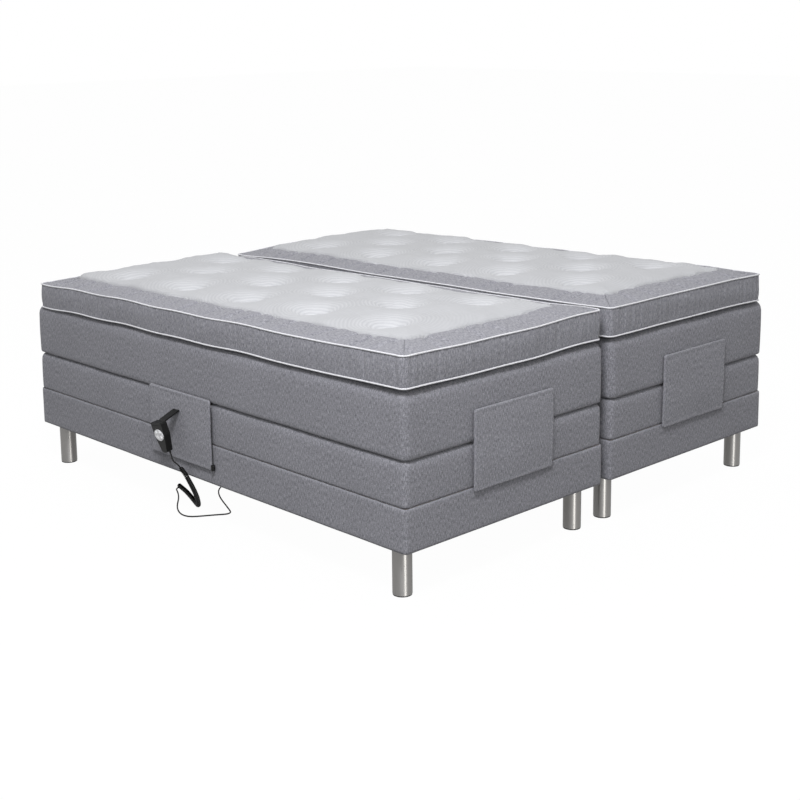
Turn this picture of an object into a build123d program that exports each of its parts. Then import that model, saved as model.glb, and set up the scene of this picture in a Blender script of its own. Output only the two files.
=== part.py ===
from build123d import *
from math import asin, cos, degrees, pi, radians, sin, tan
import os

os.makedirs("parts", exist_ok=True)

# Two single beds side by side. X runs across them, Y from foot end to head end, Z up from the
# floor. The origin is the middle of the footprint with the handset, so the pair stands off it.
unit_width = 900
unit_length = 2000
unit_gap = 40
unit_pitch = unit_width + unit_gap
pair_x = 42
units = {"left": pair_x - unit_pitch / 2, "right": pair_x + unit_pitch / 2}
fit = 0.3
contact_gap = 0.5

# Legs.
leg_height = 150
leg_radius = 30
leg_wall = 2
leg_inset_x = 60
leg_inset_y = 78
leg_plate_radius = 44
leg_plate_thickness = 4
glide_height = 4
glide_plug_height = 12
stud_radius = 5
stud_length = 30

# Lower upholstered box.
base_bottom = leg_height + leg_plate_thickness
base_height = 135.5
base_top = base_bottom + base_height
base_skin = 8
base_corner = 14
base_edge = 4
flange_thickness = 2
flange_width = 25
timber = 20
cross_rail_width = 40
corner_block_size = 120
corner_block_height = 36

# Middle layer with the tilting sections.
middle_bottom = base_top + contact_gap
middle_height = 139.5
middle_top = middle_bottom + middle_height
middle_inset = 3
middle_wall = 10
middle_deck = 12
middle_corner = 18
middle_edge = 22
middle_lower_edge = 3
back_hinge_y = 210
leg_hinge_y = -60
hinge_drop = 21.5
hinge_z = middle_top - hinge_drop
split_half = 13
back_tilt = 55
leg_tilt = 28

# Mattress and topper.
mattress_height = 205
mattress_bottom = middle_top + contact_gap
mattress_top = mattress_bottom + mattress_height
mattress_corner = 34
mattress_edge = 22
topper_width = 880
topper_length = 1980
topper_height = 112
topper_bottom = mattress_top + contact_gap
topper_top = topper_bottom + topper_height
topper_corner = 22
topper_edge = 12
topper_shift_x = {"left": -8, "right": -18}
topper_shift_y = -8
back_relief = 25
leg_relief = 15

# Hinges, section frames and slats.
pin_radius = 5
running_gap = 0.06
ear_thickness = 5.5
ear_radius = 12
bracket_thickness = 6
bracket_reach = 72
seat_board_thickness = timber + ear_thickness + contact_gap
rail_height = 40
rail_top_drop = 8
cross_tube = 20
second_cross_distance = 490
lift_rail_x = 200
lift_rail_width = 30
slat_width = 50
slat_thickness = 8
slat_camber = 8
slat_pitch = 74
slat_start = 38

# Lift tubes and the drive between them.
tube_radius = 15
tube_wall = 3
tube_drop = 68
tube_offset = 36
tube_half_length = 400
arm_length = 300
arm_thickness = 12
arm_height = 26
roller_radius = 15
roller_gap = 0.8
lever_length = 56
lever_radius = 8
bearing_x = 395
bearing_thickness = 5
bearing_half_width = 30
housing_half_width = 70
housing_end = 44
housing_drop = 90
housing_height = 118
housing_wall = 3
housing_clearance = 5
spindle_radius = 5
spindle_drop = 74
pusher_thickness = 20
pusher_half_width = 18
pusher_height = 34
motor_radius = 24
motor_length = 95
motor_offset = 34
motor_drop = 38

# Fabric flaps.
flap_thickness = 10
flap_standoff = 4
side_flap_width = 340
side_flap_height = 238
side_flap_y = 76.5
side_flap_top = 443
foot_flap_width = 358
foot_flap_height = 254
foot_flap_x = {"left": 6, "right": 6}
foot_flap_top = 532
flap_corner = 6
batten_height = 60
tab_reach = 10
tab_width = 4
tab_height = 10
tab_drop = 12

# Handset of the left bed, hooked into a slit in its side flap.
handset_lean = 11.9
handset_roll = 9.2
handset_standoff = 74
handset_y = 92
handset_z = 355
handset_width = 62
handset_tip_width = 26
handset_shoulder = 45
handset_length = 108
handset_corner = 8
handset_tip_round = 10
handset_edge = 2.5
handset_back = 8.7
handset_thickness = 24
handset_cap = 9
handset_wall = 2
relief_length = 10
strap_width = 30
strap_thickness = 5
strap_straight = 6
strap_grip = 16
strap_round = 8
slit_y = 84
slit_z = 379
keypad_width = 50
keypad_height = 40
keypad_thickness = 2
keypad_drop = 44
key_radius = 5.2
key_x = 11
key_y = 9
key_height = 2.6
key_edge = 0.6
key_travel = 1.2

# Cords.
lead_diameter = 5
coil_diameter = 17
cord_clearance = 0.1
gland_radius = 7
gland_length = 12
gland_offset = 30
gland_forward = 125
flap_cord_diameter = 3
flap_cord_length = 194
bead_radius = 7
bead_length = 21

# Joining bars under the two boxes.
bar_half_length = 110
bar_width = 30
bar_thickness = 3
bar_y = 500

outer_x = unit_width / 2
outer_y = unit_length / 2
frame_half_x = outer_x - base_skin - fit
frame_half_y = outer_y - base_skin - fit
frame_bottom = base_bottom + flange_thickness + fit
frame_top = base_top - flange_thickness - fit
middle_half_x = outer_x - middle_inset
middle_half_y = outer_y - middle_inset
section_half_x = middle_half_x - middle_wall - fit
section_half_y = middle_half_y - middle_wall - fit
deck_bottom = middle_top - middle_deck
rail_top = hinge_z - rail_top_drop
rail_inner_x = section_half_x - timber
lift_rail_bottom = rail_top - cross_tube
tube_z = hinge_z - tube_drop
back_tube_y = back_hinge_y + tube_offset
leg_tube_y = leg_hinge_y - tube_offset
housing_bottom = tube_z - housing_drop
housing_top = housing_bottom + housing_height
spindle_z = tube_z - spindle_drop
motor_z = tube_z - motor_drop
drive_y = (back_tube_y + leg_tube_y) / 2
side_flap_low_y = side_flap_y - side_flap_width / 2
tab_bottom = side_flap_top - tab_drop - tab_height
leg_spots = [
    (sx * (outer_x - leg_inset_x), sy * (outer_y - leg_inset_y))
    for sx in (-1, 1)
    for sy in (-1, 1)
]


def save(piece, name):
    piece.label = name
    export_step(piece, f"parts/{name}.step")


def rounded_block(centre_x, centre_y, width, length, bottom, top, corner, top_edge, bottom_edge):
    """An upright block with rounded corners and softened top and bottom edges."""
    with BuildPart() as block:
        with BuildSketch(Plane.XY.offset(bottom)):
            with Locations((centre_x, centre_y)):
                RectangleRounded(width, length, corner)
        extrude(amount=top - bottom)
        fillet(block.faces().sort_by(Axis.Z)[-1].edges(), top_edge)
        fillet(block.faces().sort_by(Axis.Z)[0].edges(), bottom_edge)
    return block.part


def side_slice(block, centre_x, points):
    """The stretch of a block that lies inside an outline drawn in Y and Z."""
    with BuildPart() as piece:
        add(block)
        with BuildSketch(Plane.YZ.offset(centre_x - unit_width)):
            with BuildLine():
                Polyline(*points, close=True)
            make_face()
        extrude(amount=2 * unit_width, mode=Mode.INTERSECT)
    return piece.part


def section_outline(side, bottom, top, gap):
    """The side view of one stretch of mattress or topper, with a leaning face over each hinge."""
    back_foot = back_hinge_y + split_half
    leg_foot = leg_hinge_y - split_half
    rise_low = bottom - mattress_bottom
    rise_high = top - mattress_bottom
    back_low = back_foot + rise_low * tan(radians(back_relief))
    back_high = back_foot + rise_high * tan(radians(back_relief))
    leg_low = leg_foot - rise_low * tan(radians(leg_relief))
    leg_high = leg_foot - rise_high * tan(radians(leg_relief))
    if side == "back":
        return [(back_low, bottom), (unit_length, bottom), (unit_length, top), (back_high, top)]
    if side == "leg":
        return [(leg_low, bottom), (leg_high, top), (-unit_length, top), (-unit_length, bottom)]
    return [
        (leg_low + gap, bottom),
        (back_low - gap, bottom),
        (back_high - gap, top),
        (leg_high + gap, top),
    ]


def soft_stretch(side, centre_x, width, length, shift_x, shift_y, bottom, top, corner, edge):
    block = rounded_block(
        centre_x + shift_x, shift_y, width, length, bottom, top, corner, edge, edge
    )
    return side_slice(block, centre_x, section_outline(side, bottom, top, contact_gap))


def middle_cover(centre_x, low_y, high_y):
    """Padded border and deck of the middle layer between two cross cuts, open below."""
    shell = rounded_block(
        centre_x, 0, 2 * middle_half_x, 2 * middle_half_y, middle_bottom, middle_top,
        middle_corner, middle_edge, middle_lower_edge,
    )
    with BuildPart() as cover:
        add(shell)
        with BuildSketch(Plane.XY.offset(middle_bottom)):
            with Locations((centre_x, 0)):
                Rectangle(2 * (middle_half_x - middle_wall), 2 * (middle_half_y - middle_wall))
        extrude(amount=deck_bottom - middle_bottom, mode=Mode.SUBTRACT)
        with BuildSketch(Plane.XY.offset(middle_bottom)):
            with Locations((centre_x, (low_y + high_y) / 2)):
                Rectangle(unit_width, high_y - low_y)
        extrude(amount=middle_height, mode=Mode.INTERSECT)
    return cover.part


def section_frame(centre_x, hinge_y, way):
    """Steel frame of a tilting section. way is +1 towards the head and -1 towards the foot."""
    end_y = way * section_half_y
    start_y = hinge_y + way * (ear_radius + contact_gap)
    mid_y = (start_y + end_y) / 2
    reach = abs(end_y - start_y)
    first_y = start_y + way * cross_tube / 2
    second_y = first_y + way * second_cross_distance
    with BuildPart() as frame:
        with BuildSketch(Plane.XY.offset(rail_top - rail_height)):
            for sx in (-1, 1):
                with Locations((centre_x + sx * (section_half_x - timber / 2), mid_y)):
                    Rectangle(timber, reach)
            with Locations((centre_x, end_y - way * timber / 2)):
                Rectangle(2 * section_half_x, timber)
        extrude(amount=rail_height)
        with BuildSketch(Plane.XY.offset(lift_rail_bottom)):
            for y in (first_y, second_y):
                with Locations((centre_x, y)):
                    Rectangle(2 * rail_inner_x, cross_tube)
            for sx in (-1, 1):
                with Locations((centre_x + sx * lift_rail_x, (first_y + second_y) / 2)):
                    Rectangle(lift_rail_width, second_cross_distance)
        extrude(amount=cross_tube)
        for sx in (-1, 1):
            face_x = centre_x + sx * rail_inner_x
            with BuildSketch(Plane.YZ.offset(min(face_x, face_x - sx * ear_thickness))):
                with Locations((hinge_y, hinge_z)):
                    Circle(ear_radius)
                with BuildLine():
                    Polyline(
                        (hinge_y, hinge_z + ear_radius),
                        (hinge_y + way * 8, hinge_z + 8),
                        (hinge_y + way * 34, rail_top),
                        (hinge_y + way * 90, rail_top),
                        (hinge_y + way * 60, rail_top - rail_height + 4),
                        (hinge_y + way * 20, rail_top - rail_height + 4),
                        (hinge_y - way * 6, hinge_z - 10),
                        close=True,
                    )
                make_face()
                with Locations((hinge_y, hinge_z)):
                    Circle(pin_radius + running_gap, mode=Mode.SUBTRACT)
            extrude(amount=ear_thickness)
    return frame.part


def slat_row(centre_x, half_span, places, end_bottom):
    """Bowed wooden slats lying across the bed at the given places along Y."""
    with BuildPart() as slats:
        for y in places:
            with BuildSketch(Plane.XZ.offset(-y - slat_width / 2)):
                with BuildLine():
                    ThreePointArc(
                        (centre_x - half_span, end_bottom),
                        (centre_x, end_bottom + slat_camber),
                        (centre_x + half_span, end_bottom),
                    )
                    Line(
                        (centre_x + half_span, end_bottom),
                        (centre_x + half_span, end_bottom + slat_thickness),
                    )
                    ThreePointArc(
                        (centre_x + half_span, end_bottom + slat_thickness),
                        (centre_x, end_bottom + slat_camber + slat_thickness),
                        (centre_x - half_span, end_bottom + slat_thickness),
                    )
                    Line(
                        (centre_x - half_span, end_bottom + slat_thickness),
                        (centre_x - half_span, end_bottom),
                    )
                make_face()
            extrude(amount=slat_width)
    return slats.part


def bar_between(start, stop, height):
    """A straight bar's outline between two points of the side view."""
    run = (stop - start).normalized()
    side = Vector(-run.Y, run.X) * height / 2
    Polyline(start + side, stop + side, stop - side, start - side, close=True)


def lift_tube(centre_x, tube_y, way, arm_angle, lever_angle):
    """Cross tube with two lift arms and the lever that the drive pushes."""
    axis = Vector(tube_y, tube_z)
    arm_end = axis + Vector(way * cos(radians(arm_angle)), sin(radians(arm_angle))) * arm_length
    lever_turn = radians(lever_angle)
    lever_end = axis - Vector(way * sin(lever_turn), cos(lever_turn)) * lever_length
    with BuildPart() as tube:
        with BuildSketch(Plane.YZ.offset(centre_x - tube_half_length)):
            with Locations(axis):
                Circle(tube_radius)
        extrude(amount=2 * tube_half_length)
        for x, end, height, end_radius in (
            (-lift_rail_x, arm_end, arm_height, roller_radius),
            (lift_rail_x, arm_end, arm_height, roller_radius),
            (0, lever_end, 2 * lever_radius, lever_radius),
        ):
            with BuildSketch(Plane.YZ.offset(centre_x + x - arm_thickness / 2)):
                with BuildLine():
                    bar_between(axis, end, height)
                make_face()
                with Locations(end):
                    Circle(end_radius)
            extrude(amount=arm_thickness)
        with BuildSketch(Plane.YZ.offset(centre_x - tube_half_length)):
            with Locations(axis):
                Circle(tube_radius - tube_wall)
        extrude(amount=2 * tube_half_length, mode=Mode.SUBTRACT)
    return tube.part


def lift_angles(tilt):
    """The lift arm's angle when its section lies flat, and how far the arm turns for a full tilt."""
    below = rail_top_drop + cross_tube + roller_radius + roller_gap
    flat = asin((tube_drop - below) / arm_length)
    tip = radians(tilt)
    raised = asin((tube_offset * sin(tip) + tube_drop * cos(tip) - below) / arm_length)
    return degrees(flat), tilt + degrees(raised - flat)


back_arm_angle, back_lift_turn = lift_angles(back_tilt)
leg_arm_angle, leg_lift_turn = lift_angles(leg_tilt)
print("lift turns", round(back_lift_turn, 4), round(leg_lift_turn, 4))


# Legs with their screw plates, and the plastic glides that plug them.
with BuildPart() as legs:
    for centre_x in units.values():
        for x, y in leg_spots:
            with BuildSketch(Plane.XY.offset(glide_height)):
                with Locations((centre_x + x, y)):
                    Circle(leg_radius)
                    Circle(leg_radius - leg_wall, mode=Mode.SUBTRACT)
            extrude(amount=leg_height - glide_height)
            with BuildSketch(Plane.XY.offset(leg_height)):
                with Locations((centre_x + x, y)):
                    Circle(leg_plate_radius)
            extrude(amount=leg_plate_thickness)
            with BuildSketch(Plane.XY.offset(base_bottom)):
                with Locations((centre_x + x, y)):
                    Circle(stud_radius)
            extrude(amount=stud_length)
save(legs.part, "legs")

with BuildPart() as leg_glides:
    for centre_x in units.values():
        for x, y in leg_spots:
            with BuildSketch():
                with Locations((centre_x + x, y)):
                    Circle(leg_radius - 1)
            extrude(amount=glide_height)
            with BuildSketch(Plane.XY.offset(glide_height)):
                with Locations((centre_x + x, y)):
                    Circle(leg_radius - leg_wall - fit)
            extrude(amount=glide_plug_height)
save(leg_glides.part, "leg_glides")

# Timber of both boxes: rims, cross rails, leg blocks, and the boards and slats of the fixed seat part.
seat_board_length = back_hinge_y - leg_hinge_y - 2 * (ear_radius + 6)
with BuildPart() as base_frames:
    for centre_x in units.values():
        with BuildSketch(Plane.XY.offset(frame_bottom)):
            with Locations((centre_x, 0)):
                RectangleRounded(2 * frame_half_x, 2 * frame_half_y, base_corner - base_skin)
                Rectangle(
                    2 * (frame_half_x - timber), 2 * (frame_half_y - timber), mode=Mode.SUBTRACT
                )
            for y in (leg_tube_y, back_tube_y):
                with Locations((centre_x, y)):
                    Rectangle(2 * frame_half_x, cross_rail_width)
        extrude(amount=frame_top - frame_bottom)
        with BuildSketch(Plane.XY.offset(frame_bottom)):
            for sx in (-1, 1):
                for sy in (-1, 1):
                    block_x = centre_x + sx * (frame_half_x - (timber + corner_block_size) / 2)
                    block_y = sy * (frame_half_y - (timber + corner_block_size) / 2)
                    with Locations((block_x, block_y)):
                        Rectangle(corner_block_size, corner_block_size)
        extrude(amount=corner_block_height)
        with BuildSketch(Plane.XY.offset(frame_bottom)):
            for x, y in leg_spots:
                with Locations((centre_x + x, y)):
                    Circle(stud_radius + fit)
        extrude(amount=corner_block_height, mode=Mode.SUBTRACT)
        notch_half = housing_half_width + housing_clearance
        with BuildSketch(Plane.XY.offset(housing_bottom - housing_clearance)):
            with Locations((centre_x, drive_y)):
                Rectangle(2 * notch_half, unit_length / 2)
        extrude(amount=frame_top - housing_bottom + housing_clearance, mode=Mode.SUBTRACT)
        with BuildSketch(Plane.XY.offset(middle_bottom)):
            for sx in (-1, 1):
                with Locations((centre_x + sx * (section_half_x - seat_board_thickness / 2), drive_y)):
                    Rectangle(seat_board_thickness, seat_board_length)
        extrude(amount=deck_bottom - fit - middle_bottom)
        seat_slat_span = section_half_x - seat_board_thickness - fit
        add(
            slat_row(
                centre_x, seat_slat_span, (drive_y - 31, drive_y + 31),
                deck_bottom - slat_thickness - slat_camber - fit,
            )
        )
save(base_frames.part, "base_frames")

# Steel brackets: pivots of the tilting sections and bearings of the lift tubes.
with BuildPart() as hinge_brackets:
    for centre_x in units.values():
        for hinge_y, way in ((back_hinge_y, 1), (leg_hinge_y, -1)):
            for sx in (-1, 1):
                plate_x = centre_x + sx * (section_half_x - seat_board_thickness)
                tip_x = centre_x + sx * (rail_inner_x - contact_gap)
                root_x = plate_x - sx * bracket_thickness
                with BuildSketch(Plane.YZ.offset(min(plate_x, root_x))):
                    with Locations((hinge_y, hinge_z)):
                        Circle(ear_radius)
                    with Locations((hinge_y - way * bracket_reach / 2, hinge_z - 2)):
                        Rectangle(bracket_reach, 2 * ear_radius - 4)
                extrude(amount=bracket_thickness)
                with BuildSketch(Plane.YZ.offset(min(plate_x, tip_x))):
                    with Locations((hinge_y, hinge_z)):
                        Circle(pin_radius)
                extrude(amount=abs(tip_x - plate_x))
        for tube_y in (leg_tube_y, back_tube_y):
            for sx in (-1, 1):
                plate_x = centre_x + sx * bearing_x - bearing_thickness / 2
                with BuildSketch(Plane.YZ.offset(plate_x)):
                    with Locations((tube_y, tube_z)):
                        Circle(tube_radius + 8)
                    with BuildLine():
                        Polyline(
                            (tube_y - bearing_half_width, frame_top),
                            (tube_y + bearing_half_width, frame_top),
                            (tube_y + tube_radius + 7, tube_z),
                            (tube_y - tube_radius - 7, tube_z),
                            close=True,
                        )
                    make_face()
                    with Locations((tube_y, tube_z)):
                        Circle(tube_radius + running_gap, mode=Mode.SUBTRACT)
                extrude(amount=bearing_thickness)
save(hinge_brackets.part, "hinge_brackets")

# Flat bars that hold the two boxes side by side.
with BuildPart() as joining_bars:
    with BuildSketch(Plane.XY.offset(base_bottom - bar_thickness)):
        with Locations((pair_x, -bar_y), (pair_x, bar_y)):
            RectangleRounded(2 * bar_half_length, bar_width, 6)
    extrude(amount=bar_thickness)
save(joining_bars.part, "joining_bars")

# Drive of each bed: a hollow case hung on both lift tubes, with two motors and their spindles.
housing_low_y = leg_tube_y - housing_end
housing_high_y = back_tube_y + housing_end
with BuildPart() as drive_cases:
    for centre_x in units.values():
        with BuildSketch(Plane.XY.offset(housing_bottom)):
            with Locations((centre_x, drive_y)):
                RectangleRounded(2 * housing_half_width, housing_high_y - housing_low_y, 12)
        extrude(amount=housing_height)
    for centre_x in units.values():
        with BuildSketch(Plane.XY.offset(housing_bottom + housing_wall)):
            with Locations((centre_x, drive_y)):
                RectangleRounded(
                    2 * (housing_half_width - housing_wall),
                    housing_high_y - housing_low_y - 2 * housing_wall,
                    9,
                )
        extrude(amount=housing_height - 2 * housing_wall, mode=Mode.SUBTRACT)
        with BuildSketch(Plane.YZ.offset(centre_x - housing_half_width)):
            with Locations((leg_tube_y, tube_z), (back_tube_y, tube_z)):
                Circle(tube_radius + running_gap)
        extrude(amount=2 * housing_half_width, mode=Mode.SUBTRACT)
save(drive_cases.part, "drive_cases")

with BuildPart() as drive_motors:
    for centre_x in units.values():
        for way, end_y in ((1, housing_high_y), (-1, housing_low_y)):
            motor_y = drive_y + way * motor_offset
            outer_face = centre_x + way * (housing_half_width + fit)
            with BuildSketch(Plane.YZ.offset(min(outer_face, outer_face + way * motor_length))):
                with Locations((motor_y, motor_z)):
                    Circle(motor_radius)
            extrude(amount=motor_length)
            start_y = drive_y + way * 6
            stop_y = end_y - way * (housing_wall + fit)
            with BuildSketch(Plane.XZ.offset(-min(start_y, stop_y))):
                with Locations((centre_x, spindle_z)):
                    Circle(spindle_radius)
            extrude(amount=-abs(stop_y - start_y))
save(drive_motors.part, "drive_motors")

# Pieces that each bed has of its own.
for side, centre_x in units.items():
    outward = -1 if side == "left" else 1

    with BuildPart() as base_cover:
        add(
            rounded_block(
                centre_x, 0, unit_width, unit_length, base_bottom, base_top,
                base_corner, base_edge, base_edge / 2,
            )
        )
        with BuildSketch(Plane.XY.offset(base_bottom + flange_thickness)):
            with Locations((centre_x, 0)):
                RectangleRounded(
                    unit_width - 2 * base_skin, unit_length - 2 * base_skin, base_corner - base_skin
                )
        extrude(amount=base_height - 2 * flange_thickness, mode=Mode.SUBTRACT)
        with BuildSketch(Plane.XY.offset(base_bottom)):
            with Locations((centre_x, 0)):
                Rectangle(
                    unit_width - 2 * (base_skin + flange_width),
                    unit_length - 2 * (base_skin + flange_width),
                )
        extrude(amount=base_height, mode=Mode.SUBTRACT)
    save(base_cover.part, f"{side}_base_cover")

    save(
        middle_cover(centre_x, leg_hinge_y + split_half, back_hinge_y - split_half),
        f"{side}_seat_cover",
    )
    save(
        middle_cover(centre_x, back_hinge_y + split_half, unit_length),
        f"{side}_back_cover",
    )
    save(
        middle_cover(centre_x, -unit_length, leg_hinge_y - split_half),
        f"{side}_leg_cover",
    )
    save(section_frame(centre_x, back_hinge_y, 1), f"{side}_back_frame")
    save(section_frame(centre_x, leg_hinge_y, -1), f"{side}_leg_frame")

    slat_span = section_half_x - fit
    first_back = back_hinge_y + slat_start + slat_width / 2
    back_count = int((section_half_y - slat_width - first_back) // slat_pitch) + 1
    first_leg = leg_hinge_y - slat_start - slat_width / 2
    leg_count = int((section_half_y - slat_width + first_leg) // slat_pitch) + 1
    back_places = [first_back + slat_pitch * i for i in range(back_count)]
    leg_places = [first_leg - slat_pitch * i for i in range(leg_count)]
    save(slat_row(centre_x, slat_span, back_places, rail_top + fit), f"{side}_back_slats")
    save(slat_row(centre_x, slat_span, leg_places, rail_top + fit), f"{side}_leg_slats")

    for stretch in ("back", "seat", "leg"):
        mattress = soft_stretch(
            stretch, centre_x, unit_width, unit_length, 0, 0,
            mattress_bottom, mattress_top, mattress_corner, mattress_edge,
        )
        save(mattress, f"{side}_mattress_{stretch}")
        topper = soft_stretch(
            stretch, centre_x, topper_width, topper_length, topper_shift_x[side], topper_shift_y,
            topper_bottom, topper_top, topper_corner, topper_edge,
        )
        save(topper, f"{side}_topper_{stretch}")

    back_lift = lift_tube(centre_x, back_tube_y, 1, back_arm_angle, back_lift_turn / 2)
    save(back_lift, f"{side}_back_lift")
    leg_lift = lift_tube(centre_x, leg_tube_y, -1, leg_arm_angle, leg_lift_turn / 2)
    save(leg_lift, f"{side}_leg_lift")

    for name, tube_y, way, turn in (
        ("back", back_tube_y, 1, back_lift_turn),
        ("leg", leg_tube_y, -1, leg_lift_turn),
    ):
        lever_tip_y = tube_y - way * lever_length * sin(radians(turn / 2))
        push_y = lever_tip_y - way * (lever_radius + contact_gap + fit)
        with BuildPart() as pusher:
            with BuildSketch(Plane.XY.offset(housing_bottom + housing_wall + contact_gap)):
                with Locations((centre_x, push_y - way * pusher_thickness / 2)):
                    RectangleRounded(2 * pusher_half_width, pusher_thickness, 3)
            extrude(amount=pusher_height)
            with BuildSketch(Plane.XZ.offset(-push_y - pusher_thickness)):
                with Locations((centre_x, spindle_z)):
                    Circle(spindle_radius + running_gap)
            extrude(amount=2 * pusher_thickness, mode=Mode.SUBTRACT)
        save(pusher.part, f"{side}_{name}_pusher")

    # The side flap hangs from a batten sewn to its back; only the left one has the handset's slit.
    flap_back_x = centre_x + outward * (outer_x + flap_standoff)
    flap_front_x = flap_back_x + outward * flap_thickness
    batten_x = centre_x + outward * (middle_half_x + fit)
    batten_top = middle_top - middle_edge
    batten_half = (back_hinge_y - leg_hinge_y) / 2 - split_half - 8
    with BuildPart() as side_flap:
        with BuildSketch(Plane.YZ.offset(min(flap_back_x, flap_front_x))):
            with Locations((side_flap_y, side_flap_top - side_flap_height / 2)):
                RectangleRounded(side_flap_width, side_flap_height, flap_corner)
        extrude(amount=flap_thickness)
        with BuildSketch(Plane.YZ.offset(min(flap_back_x, batten_x))):
            with Locations((drive_y, batten_top - batten_height / 2)):
                Rectangle(2 * batten_half, batten_height)
        extrude(amount=abs(flap_back_x - batten_x))
        if side == "left":
            with BuildSketch(Plane.YZ.offset(min(flap_front_x, batten_x))):
                with Locations((slit_y, slit_z)):
                    Rectangle(strap_width + 2 * contact_gap, strap_thickness + 2 * contact_gap)
            extrude(amount=abs(flap_front_x - batten_x), mode=Mode.SUBTRACT)
            with BuildSketch(Plane.YZ.offset(flap_back_x - flap_thickness / 2 - tab_width / 2)):
                with Locations((side_flap_low_y - tab_reach / 2, tab_bottom + tab_height / 2)):
                    Rectangle(tab_reach, tab_height)
            extrude(amount=tab_width)
    save(side_flap.part, f"{side}_side_flap")

    flap_back_y = -outer_y - flap_standoff
    batten_y = -middle_half_y - fit
    with BuildPart() as foot_flap:
        with BuildSketch(Plane.XZ.offset(-flap_back_y)):
            with Locations((centre_x + foot_flap_x[side], foot_flap_top - foot_flap_height / 2)):
                RectangleRounded(foot_flap_width, foot_flap_height, flap_corner)
        extrude(amount=flap_thickness)
        with BuildSketch(Plane.XZ.offset(-batten_y)):
            with Locations((centre_x + foot_flap_x[side], batten_top - batten_height / 2)):
                Rectangle(foot_flap_width - 40, batten_height)
        extrude(amount=batten_y - flap_back_y)
    save(foot_flap.part, f"{side}_foot_flap")

# The handset leans out at the top. Its own plane runs across, down, and out of its face.
left_face_x = units["left"] - outer_x
lean = radians(handset_lean)
roll = radians(handset_roll)
handset_plane = Plane(
    origin=(left_face_x - handset_standoff, handset_y, handset_z),
    x_dir=(sin(roll) * sin(lean), cos(roll), -sin(roll) * cos(lean)),
    z_dir=(-cos(lean), 0, -sin(lean)),
)


def handset_outline(inset):
    """The handset seen from the front, drawn that far inside its edge."""
    half_top = handset_width / 2 - inset
    half_tip = handset_tip_width / 2 - inset
    with BuildSketch(mode=Mode.PRIVATE) as outline:
        with BuildLine():
            Polyline(
                (-half_top, inset),
                (half_top, inset),
                (half_top, handset_shoulder),
                (half_tip, handset_length - inset),
                (-half_tip, handset_length - inset),
                (-half_top, handset_shoulder),
                close=True,
            )
        make_face()
        fillet(outline.vertices().group_by(Axis.Y)[-1], handset_tip_round - inset)
        fillet(outline.vertices().group_by(Axis.Y)[0], handset_corner - inset)
    return outline.sketch


with BuildPart() as handset_front:
    with BuildSketch(handset_plane.offset(handset_back + fit)):
        add(handset_outline(0))
        with Locations((0, 0)):
            Rectangle(2 * handset_width, 2 * (handset_cap + fit), mode=Mode.SUBTRACT)
    extrude(amount=handset_thickness - handset_back - fit)
    fillet(handset_front.faces().sort_by(Axis.X)[0].edges(), handset_edge)
    with BuildSketch(handset_plane.offset(handset_back + fit)):
        add(handset_outline(handset_wall))
        with Locations((0, 0)):
            Rectangle(
                2 * handset_width, 2 * (handset_cap + fit + handset_wall), mode=Mode.SUBTRACT
            )
    extrude(amount=handset_thickness - handset_back - fit - handset_wall, mode=Mode.SUBTRACT)
save(handset_front.part, "handset_front")

relief_plane = Plane(
    origin=handset_plane.from_local_coords(
        Vector(0, handset_length - 1, handset_back / 2)
    ),
    x_dir=handset_plane.x_dir,
    z_dir=handset_plane.y_dir,
)
slit_x = left_face_x - flap_standoff - flap_thickness
strap_bend = handset_plane.from_local_coords(Vector(0, 0, strap_thickness / 2 + 1))
strap_root = handset_plane.from_local_coords(Vector(0, strap_grip, strap_thickness / 2 + 1))
with BuildPart() as handset_hook:
    with BuildSketch(handset_plane):
        add(handset_outline(0))
    extrude(amount=handset_back)
    with BuildSketch(handset_plane.offset(handset_back)):
        add(handset_outline(0))
        with Locations((0, handset_length)):
            Rectangle(
                2 * handset_width, 2 * (handset_length - handset_cap), mode=Mode.SUBTRACT
            )
    extrude(amount=handset_thickness - handset_back)
    with BuildSketch(relief_plane):
        Circle(lead_diameter / 2 + 1.8)
    with BuildSketch(relief_plane.offset(relief_length)):
        Circle(lead_diameter / 2 + 0.8)
    loft()
    with BuildLine(Plane.XZ.offset(-slit_y)) as strap_path:
        FilletPolyline(
            (left_face_x + middle_inset - 2, slit_z),
            (slit_x - strap_straight, slit_z),
            (strap_bend.X, strap_bend.Z),
            (strap_root.X, strap_root.Z),
            radius=strap_round,
        )
    with BuildSketch(Plane(strap_path.line @ 0, x_dir=(0, 1, 0), z_dir=strap_path.line % 0)):
        Rectangle(strap_width, strap_thickness)
    sweep()
save(handset_hook.part, "handset_hook")

key_spots = {
    "key_back_up": (-key_x, keypad_drop - key_y),
    "key_back_down": (-key_x, keypad_drop + key_y),
    "key_leg_up": (key_x, keypad_drop - key_y),
    "key_leg_down": (key_x, keypad_drop + key_y),
}
with BuildPart() as keypad:
    with BuildSketch(handset_plane.offset(handset_thickness)):
        with Locations((0, keypad_drop)):
            Ellipse(keypad_width / 2, keypad_height / 2)
        with Locations(*key_spots.values()):
            Circle(key_radius + fit, mode=Mode.SUBTRACT)
    extrude(amount=keypad_thickness)
save(keypad.part, "keypad")

for name, spot in key_spots.items():
    with BuildPart() as key:
        with BuildSketch(handset_plane.offset(handset_thickness + key_travel + fit)):
            with Locations(spot):
                Circle(key_radius)
        extrude(amount=key_height)
        fillet(key.faces().sort_by(Axis.X)[0].edges(), key_edge)
    save(key.part, name)

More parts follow.
